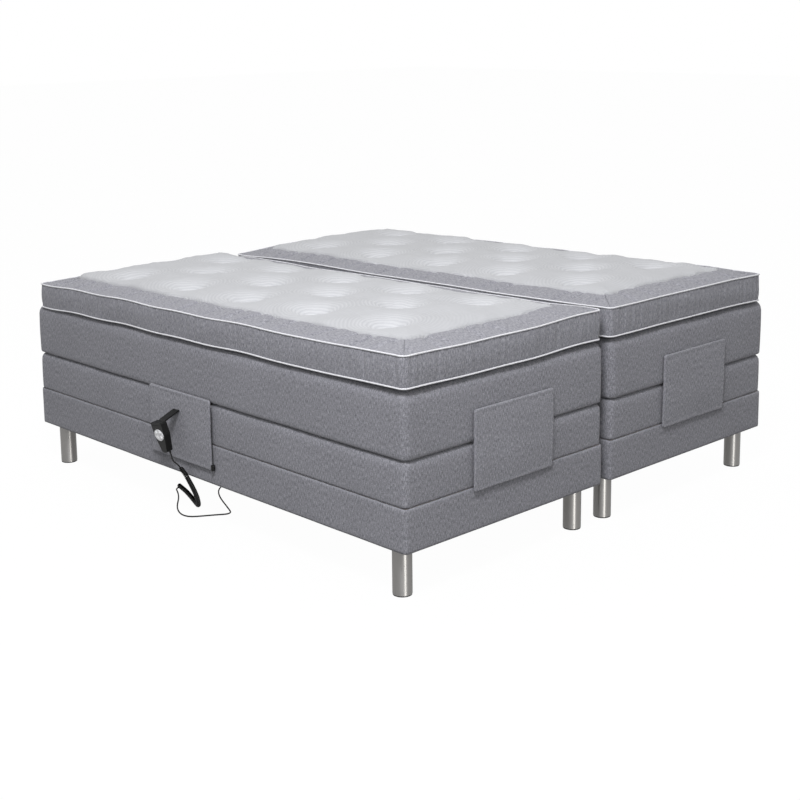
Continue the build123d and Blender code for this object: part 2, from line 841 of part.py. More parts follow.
# Cords. The handset's lead turns into a curly cord down to the floor, and a second lead runs
# from there into the drive.
gland_x = units["left"] - gland_offset
gland_y = drive_y + gland_forward
coil_rest = coil_diameter / 2 + cord_clearance
lead_rest = lead_diameter / 2 + cord_clearance
handset_lead_points = [
    relief_plane.from_local_coords(Vector(0, 0, relief_length)),
    relief_plane.from_local_coords(Vector(0, 0, relief_length + 10)),
    Vector(-930, 69, 218),
    Vector(-924, 65, 208),
    Vector(-916, 61, 201),
    Vector(-911, 54, 191),
]
coil_points = [
    Vector(-911, 54, 191),
    Vector(-902, 41.4, 173),
    Vector(-895, 33, 152),
    Vector(-882, 32, 126),
    Vector(-862, 44, 97),
    Vector(-837, 66, 65),
    Vector(-816, 88, 33),
    Vector(-798, 114, 12),
    Vector(-780, 154, coil_rest),
    Vector(-758, 208, coil_rest),
    Vector(-736, 266, coil_rest),
    Vector(-722, 310, coil_rest),
    Vector(-711, 351, coil_rest),
]
floor_lead_points = [
    Vector(-711.5, 347, lead_rest),
    Vector(-722, 346, lead_rest),
    Vector(-730, 341, lead_rest),
    Vector(-736, 332, lead_rest),
    Vector(-743, 318, lead_rest),
    Vector(-757, 292, lead_rest),
    Vector(-786, 248, lead_rest),
    Vector(-820, 208, lead_rest),
    Vector(-851, 166, lead_rest),
    Vector(-872, 124, lead_rest),
    Vector(-879, 88, lead_rest),
    Vector(-867, 60, lead_rest),
    Vector(-835, 40, lead_rest),
    Vector(-796, 16, lead_rest),
    Vector(-776, 2, lead_rest),
    Vector(-764, -4.5, lead_rest),
    Vector(-753, -4, lead_rest),
    Vector(-744, 3, lead_rest),
    Vector(-738, 14, lead_rest),
    Vector(-728, 36, lead_rest),
    Vector(-708, 82, lead_rest),
    Vector(-685, 136, lead_rest),
    Vector(-656, 190, lead_rest),
    Vector(-622, 233, lead_rest),
    Vector(-578, 258, lead_rest),
    Vector(-532, 256, lead_rest),
    Vector(-494, 232, 4),
    Vector(-470, 206, 24),
    Vector(-460, 198, 62),
    Vector(-457, 202, 116),
    Vector(gland_x, gland_y, 180),
    Vector(gland_x, gland_y, housing_bottom - gland_length),
]


def cord_radii(points):
    """The largest arc that both runs beside each corner leave room for."""
    radii = []
    for before, corner, after in zip(points, points[1:], points[2:]):
        run_in = corner - before
        run_out = after - corner
        half_turn = radians(run_in.get_angle(run_out)) / 2
        radii.append(0.45 * min(run_in.length, run_out.length) / tan(half_turn))
    return radii


def save_cord(points, diameter, name):
    """A round cord along straight runs joined by tangent arcs."""
    radii = cord_radii(points)
    with BuildPart() as cord:
        with BuildLine() as route:
            FilletPolyline(*points, radius=radii)
        with BuildSketch(Plane(points[0], z_dir=points[1] - points[0])):
            Circle(diameter / 2)
        sweep()
    save(cord.part, name)
    length = sum(edge.length for edge in route.edges())
    ratio = cord.part.volume / (pi * (diameter / 2) ** 2 * length)
    print(name, "length", round(length), "volume ratio", round(ratio, 3))
    print("radii", [round(radius) for radius in radii])


save_cord(handset_lead_points, lead_diameter, "handset_lead")
save_cord(coil_points, coil_diameter, "curly_cord")
save_cord(floor_lead_points, lead_diameter, "floor_lead")

with BuildPart() as cord_gland:
    with BuildSketch(Plane.XY.offset(housing_bottom - gland_length)):
        with Locations((gland_x, gland_y)):
            Circle(gland_radius)
    extrude(amount=gland_length)
    chamfer(cord_gland.faces().sort_by(Axis.Z)[0].edges(), 3)
save(cord_gland.part, "cord_gland")

# A short pull cord hangs from a tab on the side flap and ends in a bead.
pull_x = left_face_x - flap_standoff - flap_thickness / 2
pull_y = side_flap_low_y - bead_radius - fit
with BuildPart() as flap_cord:
    with BuildSketch(Plane.XY.offset(tab_bottom - flap_cord_length)):
        with Locations((pull_x, pull_y)):
            Circle(flap_cord_diameter / 2)
    extrude(amount=flap_cord_length)
save(flap_cord.part, "flap_cord")

with BuildPart() as flap_cord_bead:
    with BuildSketch(Plane.XY.offset(tab_bottom - flap_cord_length - bead_length)):
        with Locations((pull_x, pull_y)):
            Circle(bead_radius)
    extrude(amount=bead_length)
    fillet(flap_cord_bead.edges(), 4)
save(flap_cord_bead.part, "flap_cord_bead")
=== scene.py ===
import math

import bpy
import numpy as np
from mathutils import Matrix, Vector


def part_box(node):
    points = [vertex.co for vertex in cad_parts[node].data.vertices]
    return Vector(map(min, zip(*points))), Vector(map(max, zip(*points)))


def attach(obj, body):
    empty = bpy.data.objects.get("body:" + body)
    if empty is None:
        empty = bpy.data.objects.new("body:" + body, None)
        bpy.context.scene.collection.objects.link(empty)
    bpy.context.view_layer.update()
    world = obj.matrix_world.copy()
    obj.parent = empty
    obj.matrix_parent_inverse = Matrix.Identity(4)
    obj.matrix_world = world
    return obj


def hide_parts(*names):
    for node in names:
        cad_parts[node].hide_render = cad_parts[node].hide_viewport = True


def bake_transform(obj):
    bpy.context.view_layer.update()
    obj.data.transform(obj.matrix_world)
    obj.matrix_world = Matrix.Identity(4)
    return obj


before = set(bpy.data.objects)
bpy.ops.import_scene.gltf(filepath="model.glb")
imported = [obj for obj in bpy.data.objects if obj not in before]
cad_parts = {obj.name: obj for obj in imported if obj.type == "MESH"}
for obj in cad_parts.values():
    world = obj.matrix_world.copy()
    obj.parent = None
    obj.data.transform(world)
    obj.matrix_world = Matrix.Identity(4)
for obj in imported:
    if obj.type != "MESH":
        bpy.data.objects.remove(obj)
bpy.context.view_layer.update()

# The two beds: X across, Y from foot end to head end, metres.
sides = ("left", "right")
splitY = -0.03  # the soft pieces are made in two halves that meet here
blendBack = (splitY, 0.45)
blendLeg = (splitY, -0.29)


def centreOf(side):
    low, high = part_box(f"{side}_base_cover")
    return (low.x + high.x) / 2


# Node helpers for the materials.
def newMaterial(name):
    material = bpy.data.materials.new(name)
    material.use_nodes = True
    tree = material.node_tree
    shader = tree.nodes["Principled BSDF"]
    return material, tree, shader


def addNode(tree, kind, **values):
    node = tree.nodes.new(kind)
    for key, value in values.items():
        setattr(node, key, value)
    return node


def mapped(tree, source, scale):
    coords = addNode(tree, "ShaderNodeTexCoord")
    mapping = addNode(tree, "ShaderNodeMapping")
    mapping.inputs["Scale"].default_value = scale
    tree.links.new(coords.outputs[source], mapping.inputs["Vector"])
    return mapping.outputs["Vector"]


def noiseOf(tree, vector, scale, detail=2.0, roughness=0.5):
    node = addNode(tree, "ShaderNodeTexNoise")
    node.inputs["Scale"].default_value = scale
    node.inputs["Detail"].default_value = detail
    node.inputs["Roughness"].default_value = roughness
    tree.links.new(vector, node.inputs["Vector"])
    return node.outputs["Fac"]


def rampOf(tree, fac, stops):
    node = addNode(tree, "ShaderNodeValToRGB")
    ramp = node.color_ramp
    while len(ramp.elements) < len(stops):
        ramp.elements.new(0.5)
    for element, (place, colour) in zip(ramp.elements, stops):
        element.position = place
        element.color = (*colour, 1)
    tree.links.new(fac, node.inputs["Fac"])
    return node.outputs["Color"]


def mathOf(tree, operation, first, second=None, third=None):
    node = addNode(tree, "ShaderNodeMath", operation=operation)
    for socket, value in zip(node.inputs, (first, second, third)):
        if value is None:
            continue
        if isinstance(value, (int, float)):
            socket.default_value = value
        else:
            tree.links.new(value, socket)
    return node.outputs[0]


def mixColour(tree, fac, first, second, blend="MIX"):
    node = addNode(tree, "ShaderNodeMix", data_type="RGBA", blend_type=blend)
    for socket, value in ((node.inputs[0], fac), (node.inputs[6], first), (node.inputs[7], second)):
        if isinstance(value, (int, float)):
            socket.default_value = value
        elif isinstance(value, tuple):
            socket.default_value = (*value, 1)
        else:
            tree.links.new(value, socket)
    return node.outputs[2]


def bumpInto(tree, shader, height, strength, distance):
    node = addNode(tree, "ShaderNodeBump")
    node.inputs["Strength"].default_value = strength
    node.inputs["Distance"].default_value = distance
    tree.links.new(height, node.inputs["Height"])
    tree.links.new(node.outputs["Normal"], shader.inputs["Normal"])


# Grey upholstery: a melange weave with upright slubs. It follows the cloth by its UV map, in metres.
melange = {
    "dark": (0.110, 0.110, 0.126),
    "mid": (0.229, 0.228, 0.248),
    "light": (0.400, 0.400, 0.430),
    "slubScale": (380, 80, 1),
    "weftScale": (110, 480, 1),
    "threadScale": (1000, 420, 1),
    "cloudScale": (5, 5, 1),
    "foldScale": (75, 5, 1),
    "slubShare": 0.52,
    "threadShare": 0.28,
    "weftShare": 0.2,
    "stops": (0.385, 0.50, 0.625),
    "cloud": (0.16, 0.92),
    "roughness": 0.92,
    "bump": (0.5, 0.0012),
    "seamColour": (0.05, 0.05, 0.058),
    "seamSharp": 450.0,
    "seamDepth": 0.8,
    "foldDepth": 5.0,
}


def mitreSeam(tree, half):
    coords = addNode(tree, "ShaderNodeTexCoord")
    parts = addNode(tree, "ShaderNodeSeparateXYZ")
    tree.links.new(coords.outputs["UV"], parts.inputs[0])
    x = mathOf(tree, "SUBTRACT", mathOf(tree, "ABSOLUTE", parts.outputs[0]), half[0])
    y = mathOf(tree, "SUBTRACT", mathOf(tree, "ABSOLUTE", parts.outputs[1]), half[1])
    off = mathOf(tree, "ABSOLUTE", mathOf(tree, "SUBTRACT", x, y))
    line = mathOf(tree, "MAXIMUM", mathOf(tree, "MULTIPLY_ADD", off, -melange["seamSharp"], 1.0), 0.0)
    crown = addNode(tree, "ShaderNodeAttribute", attribute_name="crown")
    crowned = mathOf(tree, "MULTIPLY", line, crown.outputs["Fac"])
    return mathOf(tree, "MULTIPLY", crowned, melange["seamDepth"])


def makeMelange(name, tint=1.0, half=None):
    # half is the topper's half width and length: its top border has mitred corner seams
    material, tree, shader = newMaterial(name)
    slub = noiseOf(tree, mapped(tree, "UV", melange["slubScale"]), 1.0, 3.0, 0.62)
    thread = noiseOf(tree, mapped(tree, "UV", melange["threadScale"]), 1.0, 1.0, 0.5)
    weft = noiseOf(tree, mapped(tree, "UV", melange["weftScale"]), 1.0, 2.0, 0.6)
    cloud = noiseOf(tree, mapped(tree, "UV", melange["cloudScale"]), 1.0, 2.0, 0.5)
    mixed = mathOf(tree, "MULTIPLY", slub, melange["slubShare"])
    mixed = mathOf(tree, "MULTIPLY_ADD", thread, melange["threadShare"], mixed)
    mixed = mathOf(tree, "MULTIPLY_ADD", weft, melange["weftShare"], mixed)
    tones = [tuple(c * tint for c in melange[key]) for key in ("dark", "mid", "light")]
    colour = rampOf(tree, mixed, list(zip(melange["stops"], tones)))
    shade = mathOf(tree, "MULTIPLY_ADD", cloud, *melange["cloud"])
    colour = mixColour(tree, 1.0, colour, shade, "MULTIPLY")
    if half:
        colour = mixColour(tree, mitreSeam(tree, half), colour, melange["seamColour"])
    tree.links.new(colour, shader.inputs["Base Color"])
    shader.inputs["Roughness"].default_value = melange["roughness"]
    shader.inputs["Specular IOR Level"].default_value = 0.2
    shader.inputs["Sheen Weight"].default_value = 0.15
    shader.inputs["Sheen Roughness"].default_value = 0.5
    if half:
        # the side band is drawn up in fine upright folds
        folds = noiseOf(tree, mapped(tree, "UV", melange["foldScale"]), 1.0, 2.0, 0.55)
        crown = addNode(tree, "ShaderNodeAttribute", attribute_name="crown")
        deep = melange["foldDepth"]
        upright = mathOf(tree, "MULTIPLY_ADD", crown.outputs["Fac"], -deep, deep)
        mixed = mathOf(tree, "MULTIPLY_ADD", folds, upright, mixed)
    bumpInto(tree, shader, mixed, *melange["bump"])
    return material


# White quilted knit: rings of stitching round each tuft, with painted shade in the ring grooves, a
# painted highlight near each tuft and painted shade between the tufts. UV is in metres from the panel's
# middle.
quilt = {
    "rowX": 0.21,
    "outerY": (0.0, 0.34, 0.68),
    "middleY": (0.17, 0.51),
    "ring": 0.0125,
    "colour": (0.515, 0.52, 0.53),
    # painted shade colour for the stitched ring grooves
    "grooveShadeColour": (0.365, 0.37, 0.385),
    "wobble": 0.022,
    "knit": 0.25,
    "fade": (-4.5, 1.15),
    "fadeLeast": 0.25,
    "line": (-0.5, 0.30),
    "grooveShadeShare": 0.55,
    # the stretch values paint a highlight near each tuft and shade between the tufts
    "stretch": (-2.2, 1.19),
    "paintedShadeLeast": 0.925,
    "cloud": (0.08, 0.955),
    "bump": (0.35, 0.0016),
}


def tuftDistance(tree, u, v, rowX, placesY):
    across = mathOf(tree, "ABSOLUTE", mathOf(tree, "SUBTRACT", mathOf(tree, "ABSOLUTE", u), rowX))
    along = mathOf(tree, "ABSOLUTE", v)
    gaps = [mathOf(tree, "ABSOLUTE", mathOf(tree, "SUBTRACT", along, y)) for y in placesY]
    nearest = gaps[0]
    for gap in gaps[1:]:
        nearest = mathOf(tree, "MINIMUM", nearest, gap)
    square = mathOf(tree, "MULTIPLY", across, across)
    return mathOf(tree, "SQRT", mathOf(tree, "MULTIPLY_ADD", nearest, nearest, square))


def makeQuilt(name):
    material, tree, shader = newMaterial(name)
    coords = addNode(tree, "ShaderNodeTexCoord")
    parts = addNode(tree, "ShaderNodeSeparateXYZ")
    tree.links.new(coords.outputs["UV"], parts.inputs[0])
    u, v = parts.outputs[0], parts.outputs[1]
    first = tuftDistance(tree, u, v, quilt["rowX"], quilt["outerY"])
    second = tuftDistance(tree, u, v, 0.0, quilt["middleY"])
    near = mathOf(tree, "MINIMUM", first, second)
    wobble = noiseOf(tree, mapped(tree, "UV", (9, 9, 1)), 1.0, 2.0, 0.5)
    phase = mathOf(tree, "MULTIPLY_ADD", wobble, quilt["wobble"], near)
    wave = mathOf(tree, "SINE", mathOf(tree, "MULTIPLY", phase, 2 * math.pi / quilt["ring"]))
    knit = noiseOf(tree, mapped(tree, "UV", (700, 700, 1)), 1.0, 2.0, 0.6)
    fade = mathOf(tree, "SMOOTH_MIN", mathOf(tree, "MULTIPLY_ADD", near, *quilt["fade"]), 1.0, 0.1)
    fade = mathOf(tree, "MAXIMUM", fade, quilt["fadeLeast"])
    ridge = mathOf(tree, "MULTIPLY", wave, fade)
    height = mathOf(tree, "MULTIPLY_ADD", knit, quilt["knit"], ridge)
    cloud = noiseOf(tree, mapped(tree, "UV", (3, 3, 1)), 1.0, 2.0, 0.5)
    # painted shade: the colour is darkened in the troughs of the stitched rings
    grooveShadeMix = mathOf(tree, "MULTIPLY_ADD", ridge, *quilt["line"])
    grooveShadeMix = mathOf(tree, "MAXIMUM", mathOf(tree, "MULTIPLY", grooveShadeMix, quilt["grooveShadeShare"]), 0.0)
    colour = mixColour(tree, grooveShadeMix, quilt["colour"], quilt["grooveShadeColour"])
    # painted highlight in the tuft hollows and painted shade between the tufts: the colour is multiplied
    # by up to 1.19 near a tuft and by 0.925 farther off
    stretch = mathOf(tree, "MULTIPLY_ADD", near, *quilt["stretch"])
    stretch = mathOf(tree, "MAXIMUM", stretch, quilt["paintedShadeLeast"])
    shade = mathOf(tree, "MULTIPLY", mathOf(tree, "MULTIPLY_ADD", cloud, *quilt["cloud"]), stretch)
    colour = mixColour(tree, 1.0, colour, shade, "MULTIPLY")
    tree.links.new(colour, shader.inputs["Base Color"])
    shader.inputs["Roughness"].default_value = 0.8
    shader.inputs["Specular IOR Level"].default_value = 0.25
    shader.inputs["Sheen Weight"].default_value = 0.1
    bumpInto(tree, shader, height, *quilt["bump"])
    return material


def makeGrained(name, colour, grain, roughness, bump, metallic=0.0, specular=0.5):
    material, tree, shader = newMaterial(name)
    spots = noiseOf(tree, mapped(tree, "Object", grain["scale"]), 1.0, 2.0, 0.6)
    low = tuple(c * grain.get("low", 0.8) for c in colour)
    high = tuple(min(1.0, c * grain.get("high", 1.2)) for c in colour)
    tree.links.new(rampOf(tree, spots, [(0.3, low), (0.7, high)]), shader.inputs["Base Color"])
    rough = mathOf(tree, "MULTIPLY_ADD", spots, 0.16, roughness - 0.08)
    tree.links.new(rough, shader.inputs["Roughness"])
    shader.inputs["Metallic"].default_value = metallic
    shader.inputs["Specular IOR Level"].default_value = specular
    bumpInto(tree, shader, spots, *bump)
    return material


def makeWood(name, pale, deep, along):
    material, tree, shader = newMaterial(name)
    stretch = [38, 38, 38]
    stretch[along] = 2.2
    rings = noiseOf(tree, mapped(tree, "Object", stretch), 1.0, 6.0, 0.62)
    fibre = noiseOf(tree, mapped(tree, "Object", [s * 9 for s in stretch]), 1.0, 2.0, 0.6)
    colour = rampOf(tree, rings, [(0.32, deep), (0.48, pale), (0.62, tuple(c * 0.9 for c in pale))])
    shade = mathOf(tree, "MULTIPLY_ADD", fibre, 0.3, 0.84)
    tree.links.new(mixColour(tree, 1.0, colour, shade, "MULTIPLY"), shader.inputs["Base Color"])
    shader.inputs["Roughness"].default_value = 0.55
    bumpInto(tree, shader, fibre, 0.2, 0.0005)
    return material


print("making materials")
finishes = {
    "upholstery": makeMelange("melangeWeave"),
    "mattress": makeMelange("melangeMattress", 1.0),
    "flap": makeMelange("melangeFlap", 1.08),
    "border": makeMelange("melangeBorder", 1.1, (0.44, 0.99)),
    "panel": makeQuilt("quiltedKnit"),
    "piping": makeGrained(
        "pipingCord", (0.80, 0.80, 0.82), {"scale": (600, 600, 600), "low": 0.7, "high": 1.15}, 0.75,
        (0.5, 0.0008),
    ),
    "timber": makeWood("planedTimber", (0.62, 0.46, 0.29), (0.47, 0.32, 0.18), 1),
    "slat": makeWood("birchSlat", (0.72, 0.56, 0.37), (0.58, 0.42, 0.25), 0),
    "paint": makeGrained(
        "blackPowderCoat", (0.022, 0.022, 0.024), {"scale": (900, 900, 900)}, 0.5, (0.3, 0.0004),
    ),
    "steel": makeGrained(
        "brushedSteel", (0.30, 0.293, 0.284), {"scale": (60, 60, 1400), "low": 0.95, "high": 1.05},
        0.43, (0.06, 0.0001), metallic=1.0,
    ),
    "glide": makeGrained(
        "blackGlide", (0.02, 0.02, 0.02), {"scale": (500, 500, 500)}, 0.6, (0.2, 0.0003),
    ),
    "housing": makeGrained(
        "darkHousing", (0.03, 0.03, 0.033), {"scale": (1200, 1200, 1200)}, 0.55, (0.4, 0.0004),
    ),
    "motor": makeGrained(
        "motorHousing", (0.055, 0.056, 0.06), {"scale": (900, 900, 900)}, 0.45, (0.3, 0.0003),
    ),
    "handset": makeGrained(
        "handsetShell", (0.006, 0.006, 0.0057), {"scale": (1500, 1500, 1500)}, 0.42, (0.25, 0.0002),
        specular=0.22,
    ),
    "keypad": makeGrained(
        "keypadWhite", (0.86, 0.86, 0.87), {"scale": (800, 800, 800), "low": 0.97, "high": 1.02},
        0.4, (0.1, 0.0001),
    ),
    "key": makeGrained(
        "keyGrey", (0.86, 0.86, 0.86), {"scale": (800, 800, 800), "low": 0.95, "high": 1.03},
        0.45, (0.1, 0.0001),
    ),
    "cord": makeGrained(
        "cordSheath", (0.003, 0.003, 0.0033), {"scale": (700, 700, 700)}, 0.42, (0.2, 0.0002),
        specular=0.22,
    ),
    "pullCord": makeGrained(
        "braidedCord", (0.008, 0.008, 0.009), {"scale": (900, 900, 400), "low": 0.5, "high": 1.6},
        0.85, (0.6, 0.0005),
    ),
    "bead": makeGrained(
        "blackBead", (0.008, 0.008, 0.008), {"scale": (400, 400, 400)}, 0.25, (0.1, 0.0001),
        specular=0.22,
    ),
}

# Turned steel: the highlight stretches along the leg, across the brush lines.
steelTree = finishes["steel"].node_tree
steelShader = steelTree.nodes["Principled BSDF"]
brushLines = addNode(steelTree, "ShaderNodeTangent", direction_type="RADIAL", axis="Z")
steelTree.links.new(brushLines.outputs["Tangent"], steelShader.inputs["Tangent"])
steelShader.inputs["Anisotropic"].default_value = 0.75
steelShader.inputs["Anisotropic Rotation"].default_value = 0.25


def dress(piece, finish):
    piece.data.materials.clear()
    piece.data.materials.append(finishes[finish])


def dressNode(name, finish):
    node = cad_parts[name]
    if node.material_slots:
        for holder in node.material_slots:
            holder.material = finishes[finish]
    else:
        node.data.materials.append(finishes[finish])


# The hard pieces keep their CAD shape.
print("dressing the hard pieces")
plainNodes = {
    "base_frames": "timber", "hinge_brackets": "paint", "joining_bars": "paint", "legs": "steel",
    "leg_glides": "glide", "drive_cases": "housing", "drive_motors": "motor",
    "handset_front": "handset", "handset_hook": "handset", "keypad": "keypad",
    "key_back_up": "key", "key_back_down": "key", "key_leg_up": "key", "key_leg_down": "key",
    "cord_gland": "housing", "flap_cord_bead": "bead",
}
sideNodes = {
    "back_frame": "paint", "leg_frame": "paint", "back_lift": "paint", "leg_lift": "paint",
    "back_slats": "slat", "leg_slats": "slat", "back_pusher": "housing", "leg_pusher": "housing",
}
for name, finish in plainNodes.items():
    dressNode(name, finish)
for side in sides:
    for name, finish in sideNodes.items():
        dressNode(f"{side}_{name}", finish)


# Soft blocks: a fine grid is extruded upwards, then its points are settled on a padded shape.
def activate(piece):
    bpy.ops.object.select_all(action="DESELECT")
    piece.select_set(True)
    bpy.context.view_layer.objects.active = piece


def readPoints(mesh):
    points = np.zeros(len(mesh.vertices) * 3)
    mesh.vertices.foreach_get("co", points)
    return points.reshape(-1, 3)


def writePoints(mesh, points):
    mesh.vertices.foreach_set("co", points.ravel())
    mesh.update()


def turnOutward():
    bpy.ops.mesh.select_all(action="SELECT")
    bpy.ops.mesh.normals_make_consistent(inside=False)
    bpy.ops.object.mode_set(mode="OBJECT")


def gridBlock(name, cells, layers):
    bpy.ops.object.select_all(action="DESELECT")
    bpy.ops.mesh.primitive_grid_add(
        x_subdivisions=cells[0], y_subdivisions=cells[1], size=2, location=(0, 0, 0)
    )
    piece = bpy.context.object
    piece.name = name
    bpy.ops.object.mode_set(mode="EDIT")
    bpy.ops.mesh.select_all(action="SELECT")
    for layer in range(layers):
        bpy.ops.mesh.extrude_region_move(TRANSFORM_OT_translate={"value": (0, 0, 1 / layers)})
    turnOutward()
    return piece


def outward(plan, half, corner):
    core = np.abs(plan) - (half - corner)
    over = np.maximum(core, 0)
    reach = np.hypot(over[:, 0], over[:, 1])
    axis = np.where((core[:, 0] > core[:, 1])[:, None], np.array([[1.0, 0.0]]), np.array([[0.0, 1.0]]))
    way = np.where(reach[:, None] > 1e-9, over / np.maximum(reach, 1e-9)[:, None], axis)
    depth = corner - np.where(reach > 1e-9, reach, core.max(axis=1))
    return way * np.where(plan < 0, -1.0, 1.0), depth


def depthOf(points, centre, half):
    core = np.abs(points[:, :2] - centre) - half
    return -core.max(axis=1)


def smooth(x):
    x = np.clip(x, 0, 1)
    return x * x * (3 - 2 * x)


def settle(points, half, corner, bottom, top, edges, crowd=0.8):
    # points come in as x, y in -1..1 and z in 0..1, and leave on a block with rounded edges
    unit = points.copy()
    bend = math.sin(math.pi / 2 * crowd)
    unit[:, :2] = np.sin(unit[:, :2] * math.pi / 2 * crowd) / bend
    unit[:, 2] = 0.5 + 0.5 * np.sin((unit[:, 2] * 2 - 1) * math.pi / 2 * crowd) / bend
    plan = unit[:, :2] * half
    over = np.maximum(np.abs(plan) - (half - corner), 0)
    square = np.maximum(over[:, 0], over[:, 1])
    reach = np.hypot(over[:, 0], over[:, 1])
    both = (over[:, 0] > 0) & (over[:, 1] > 0)
    scale = np.where(both, square / np.maximum(reach, 1e-9), 1.0)
    inner = np.minimum(np.abs(plan), half - corner)
    plan = np.where(plan < 0, -1.0, 1.0) * (inner + over * scale[:, None])
    z = bottom + unit[:, 2] * (top - bottom)
    way, depth = outward(plan, half, corner)
    for level, edge, sign in ((bottom, edges[0], 1), (top, edges[1], -1)):
        rise = (z - level) * sign
        inside = (depth < edge) & (rise < edge)
        a, b = edge - depth, edge - rise
        length = np.maximum(np.hypot(a, b), 1e-9)
        newDepth = edge - edge * a / length
        newRise = edge - edge * b / length
        plan = np.where(inside[:, None], plan + way * (depth - newDepth)[:, None], plan)
        z = np.where(inside, level + sign * newRise, z)
        depth = np.where(inside, newDepth, depth)
    return np.column_stack([plan, z]), way, depth


def ripple(points, scale, seed):
    # slow, seeded waves in several directions; 1 / scale is about one wave's length
    draw = np.random.default_rng(seed)
    place = points * np.array(scale)
    out = np.zeros(len(points))
    for wave in range(10):
        way = draw.normal(size=3)
        flat = np.array(scale) > 0
        way = way * flat
        way /= np.linalg.norm(way)
        out += np.sin(place @ way * 2 * math.pi * draw.uniform(0.45, 1.1) + draw.uniform(0, 6.28))
    return out / 5


def writeUv(piece, origin=(0, 0)):
    mesh = piece.data
    while mesh.uv_layers:
        mesh.uv_layers.remove(mesh.uv_layers[0])
    layer = mesh.uv_layers.new(name="weave")
    points = readPoints(mesh)
    corners = np.zeros(len(mesh.loops), dtype=np.int64)
    mesh.loops.foreach_get("vertex_index", corners)
    normals = np.zeros(len(mesh.polygons) * 3)
    mesh.polygons.foreach_get("normal", normals)
    normals = np.abs(normals.reshape(-1, 3))
    totals = np.zeros(len(mesh.polygons), dtype=np.int64)
    mesh.polygons.foreach_get("loop_total", totals)
    facing = np.repeat(normals.argmax(axis=1), totals)
    place = points[corners] - np.array([origin[0], origin[1], 0])
    u = np.where(facing == 0, place[:, 1], place[:, 0])
    v = np.where(facing == 2, place[:, 1], place[:, 2])
    layer.data.foreach_set("uv", np.column_stack([u, v]).ravel())


def selectFaces(piece, test):
    activate(piece)
    bpy.ops.object.mode_set(mode="EDIT")
    bpy.ops.mesh.select_mode(type="FACE")
    bpy.ops.mesh.select_all(action="DESELECT")
    bpy.ops.object.mode_set(mode="OBJECT")
    mesh = piece.data
    centres = np.zeros(len(mesh.polygons) * 3)
    mesh.polygons.foreach_get("center", centres)
    chosen = test(centres.reshape(-1, 3))
    mesh.polygons.foreach_set("select", chosen)
    bpy.ops.object.mode_set(mode="EDIT")


def splitOff(piece, name, test):
    selectFaces(piece, test)
    bpy.ops.mesh.separate(type="SELECTED")
    bpy.ops.object.mode_set(mode="OBJECT")
    other = next(o for o in bpy.context.selected_objects if o != piece)
    other.name = name
    return other


def keepNormals(piece, source):
    # source maps a point to the normal it had before the piece was cut
    mesh = piece.data
    mesh.shade_smooth()
    normals = [source.get(tuple(round(c, 5) for c in v.co), v.normal) for v in mesh.vertices]
    mesh.normals_split_custom_set_from_vertices(normals)


def normalsOf(piece):
    return {tuple(round(c, 5) for c in v.co): v.normal.copy() for v in piece.data.vertices}


def bendHalves(piece, side, stretches):
    # cuts a continuous soft piece at the seat into a head half and a foot half, and keeps its smooth
    # normals across the cut
    source = normalsOf(piece)
    name = piece.name
    foot = splitOff(piece, f"{name}Foot", lambda c: c[:, 1] < splitY)
    piece.name = f"{name}Head"
    for half, body, zone, keys in (
        (piece, f"{side}_back", blendBack, ("back", "seat")),
        (foot, f"{side}_leg_rest", blendLeg, ("leg", "seat")),
    ):
        keepNormals(half, source)
        if stretches:
            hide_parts(*[f"{side}_{stretches}_{key}" for key in keys])
        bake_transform(half)
    return piece, foot


# Mattress: a firm padded block with soft edges.
mattress = {"cells": (54, 120), "layers": 14, "corner": 0.024, "edges": (0.009, 0.030), "swell": 0.004,
            "sag": 0.017, "shoulder": 0.008, "wave": 0.0012, "seeds": {"left": 3, "right": 17}}


def snapRows(piece, places, reach=0.02):
    # moves the nearest row of points onto each cut, so that the pieces end in straight lines
    points = readPoints(piece.data)
    for place in places:
        rows = np.unique(np.round(points[np.abs(points[:, 1] - place) < reach][:, 1], 4))
        nearest = rows[np.abs(rows - place).argmin()]
        points[np.abs(points[:, 1] - nearest) < 0.0004, 1] = place
    writePoints(piece.data, points)


def softField(points, seed, amount):
    # slow rises and falls that all layers of one soft piece share
    return amount * ripple(points, (3.1, 3.1, 0.0), seed)


def sagOf(points, foot=-0.95, head=0.95):
    # the soft layers settle a little towards the head end
    along = np.clip((points[:, 1] - foot) / (head - foot), 0, 1)
    return 1 - (1 - along) ** 1.6


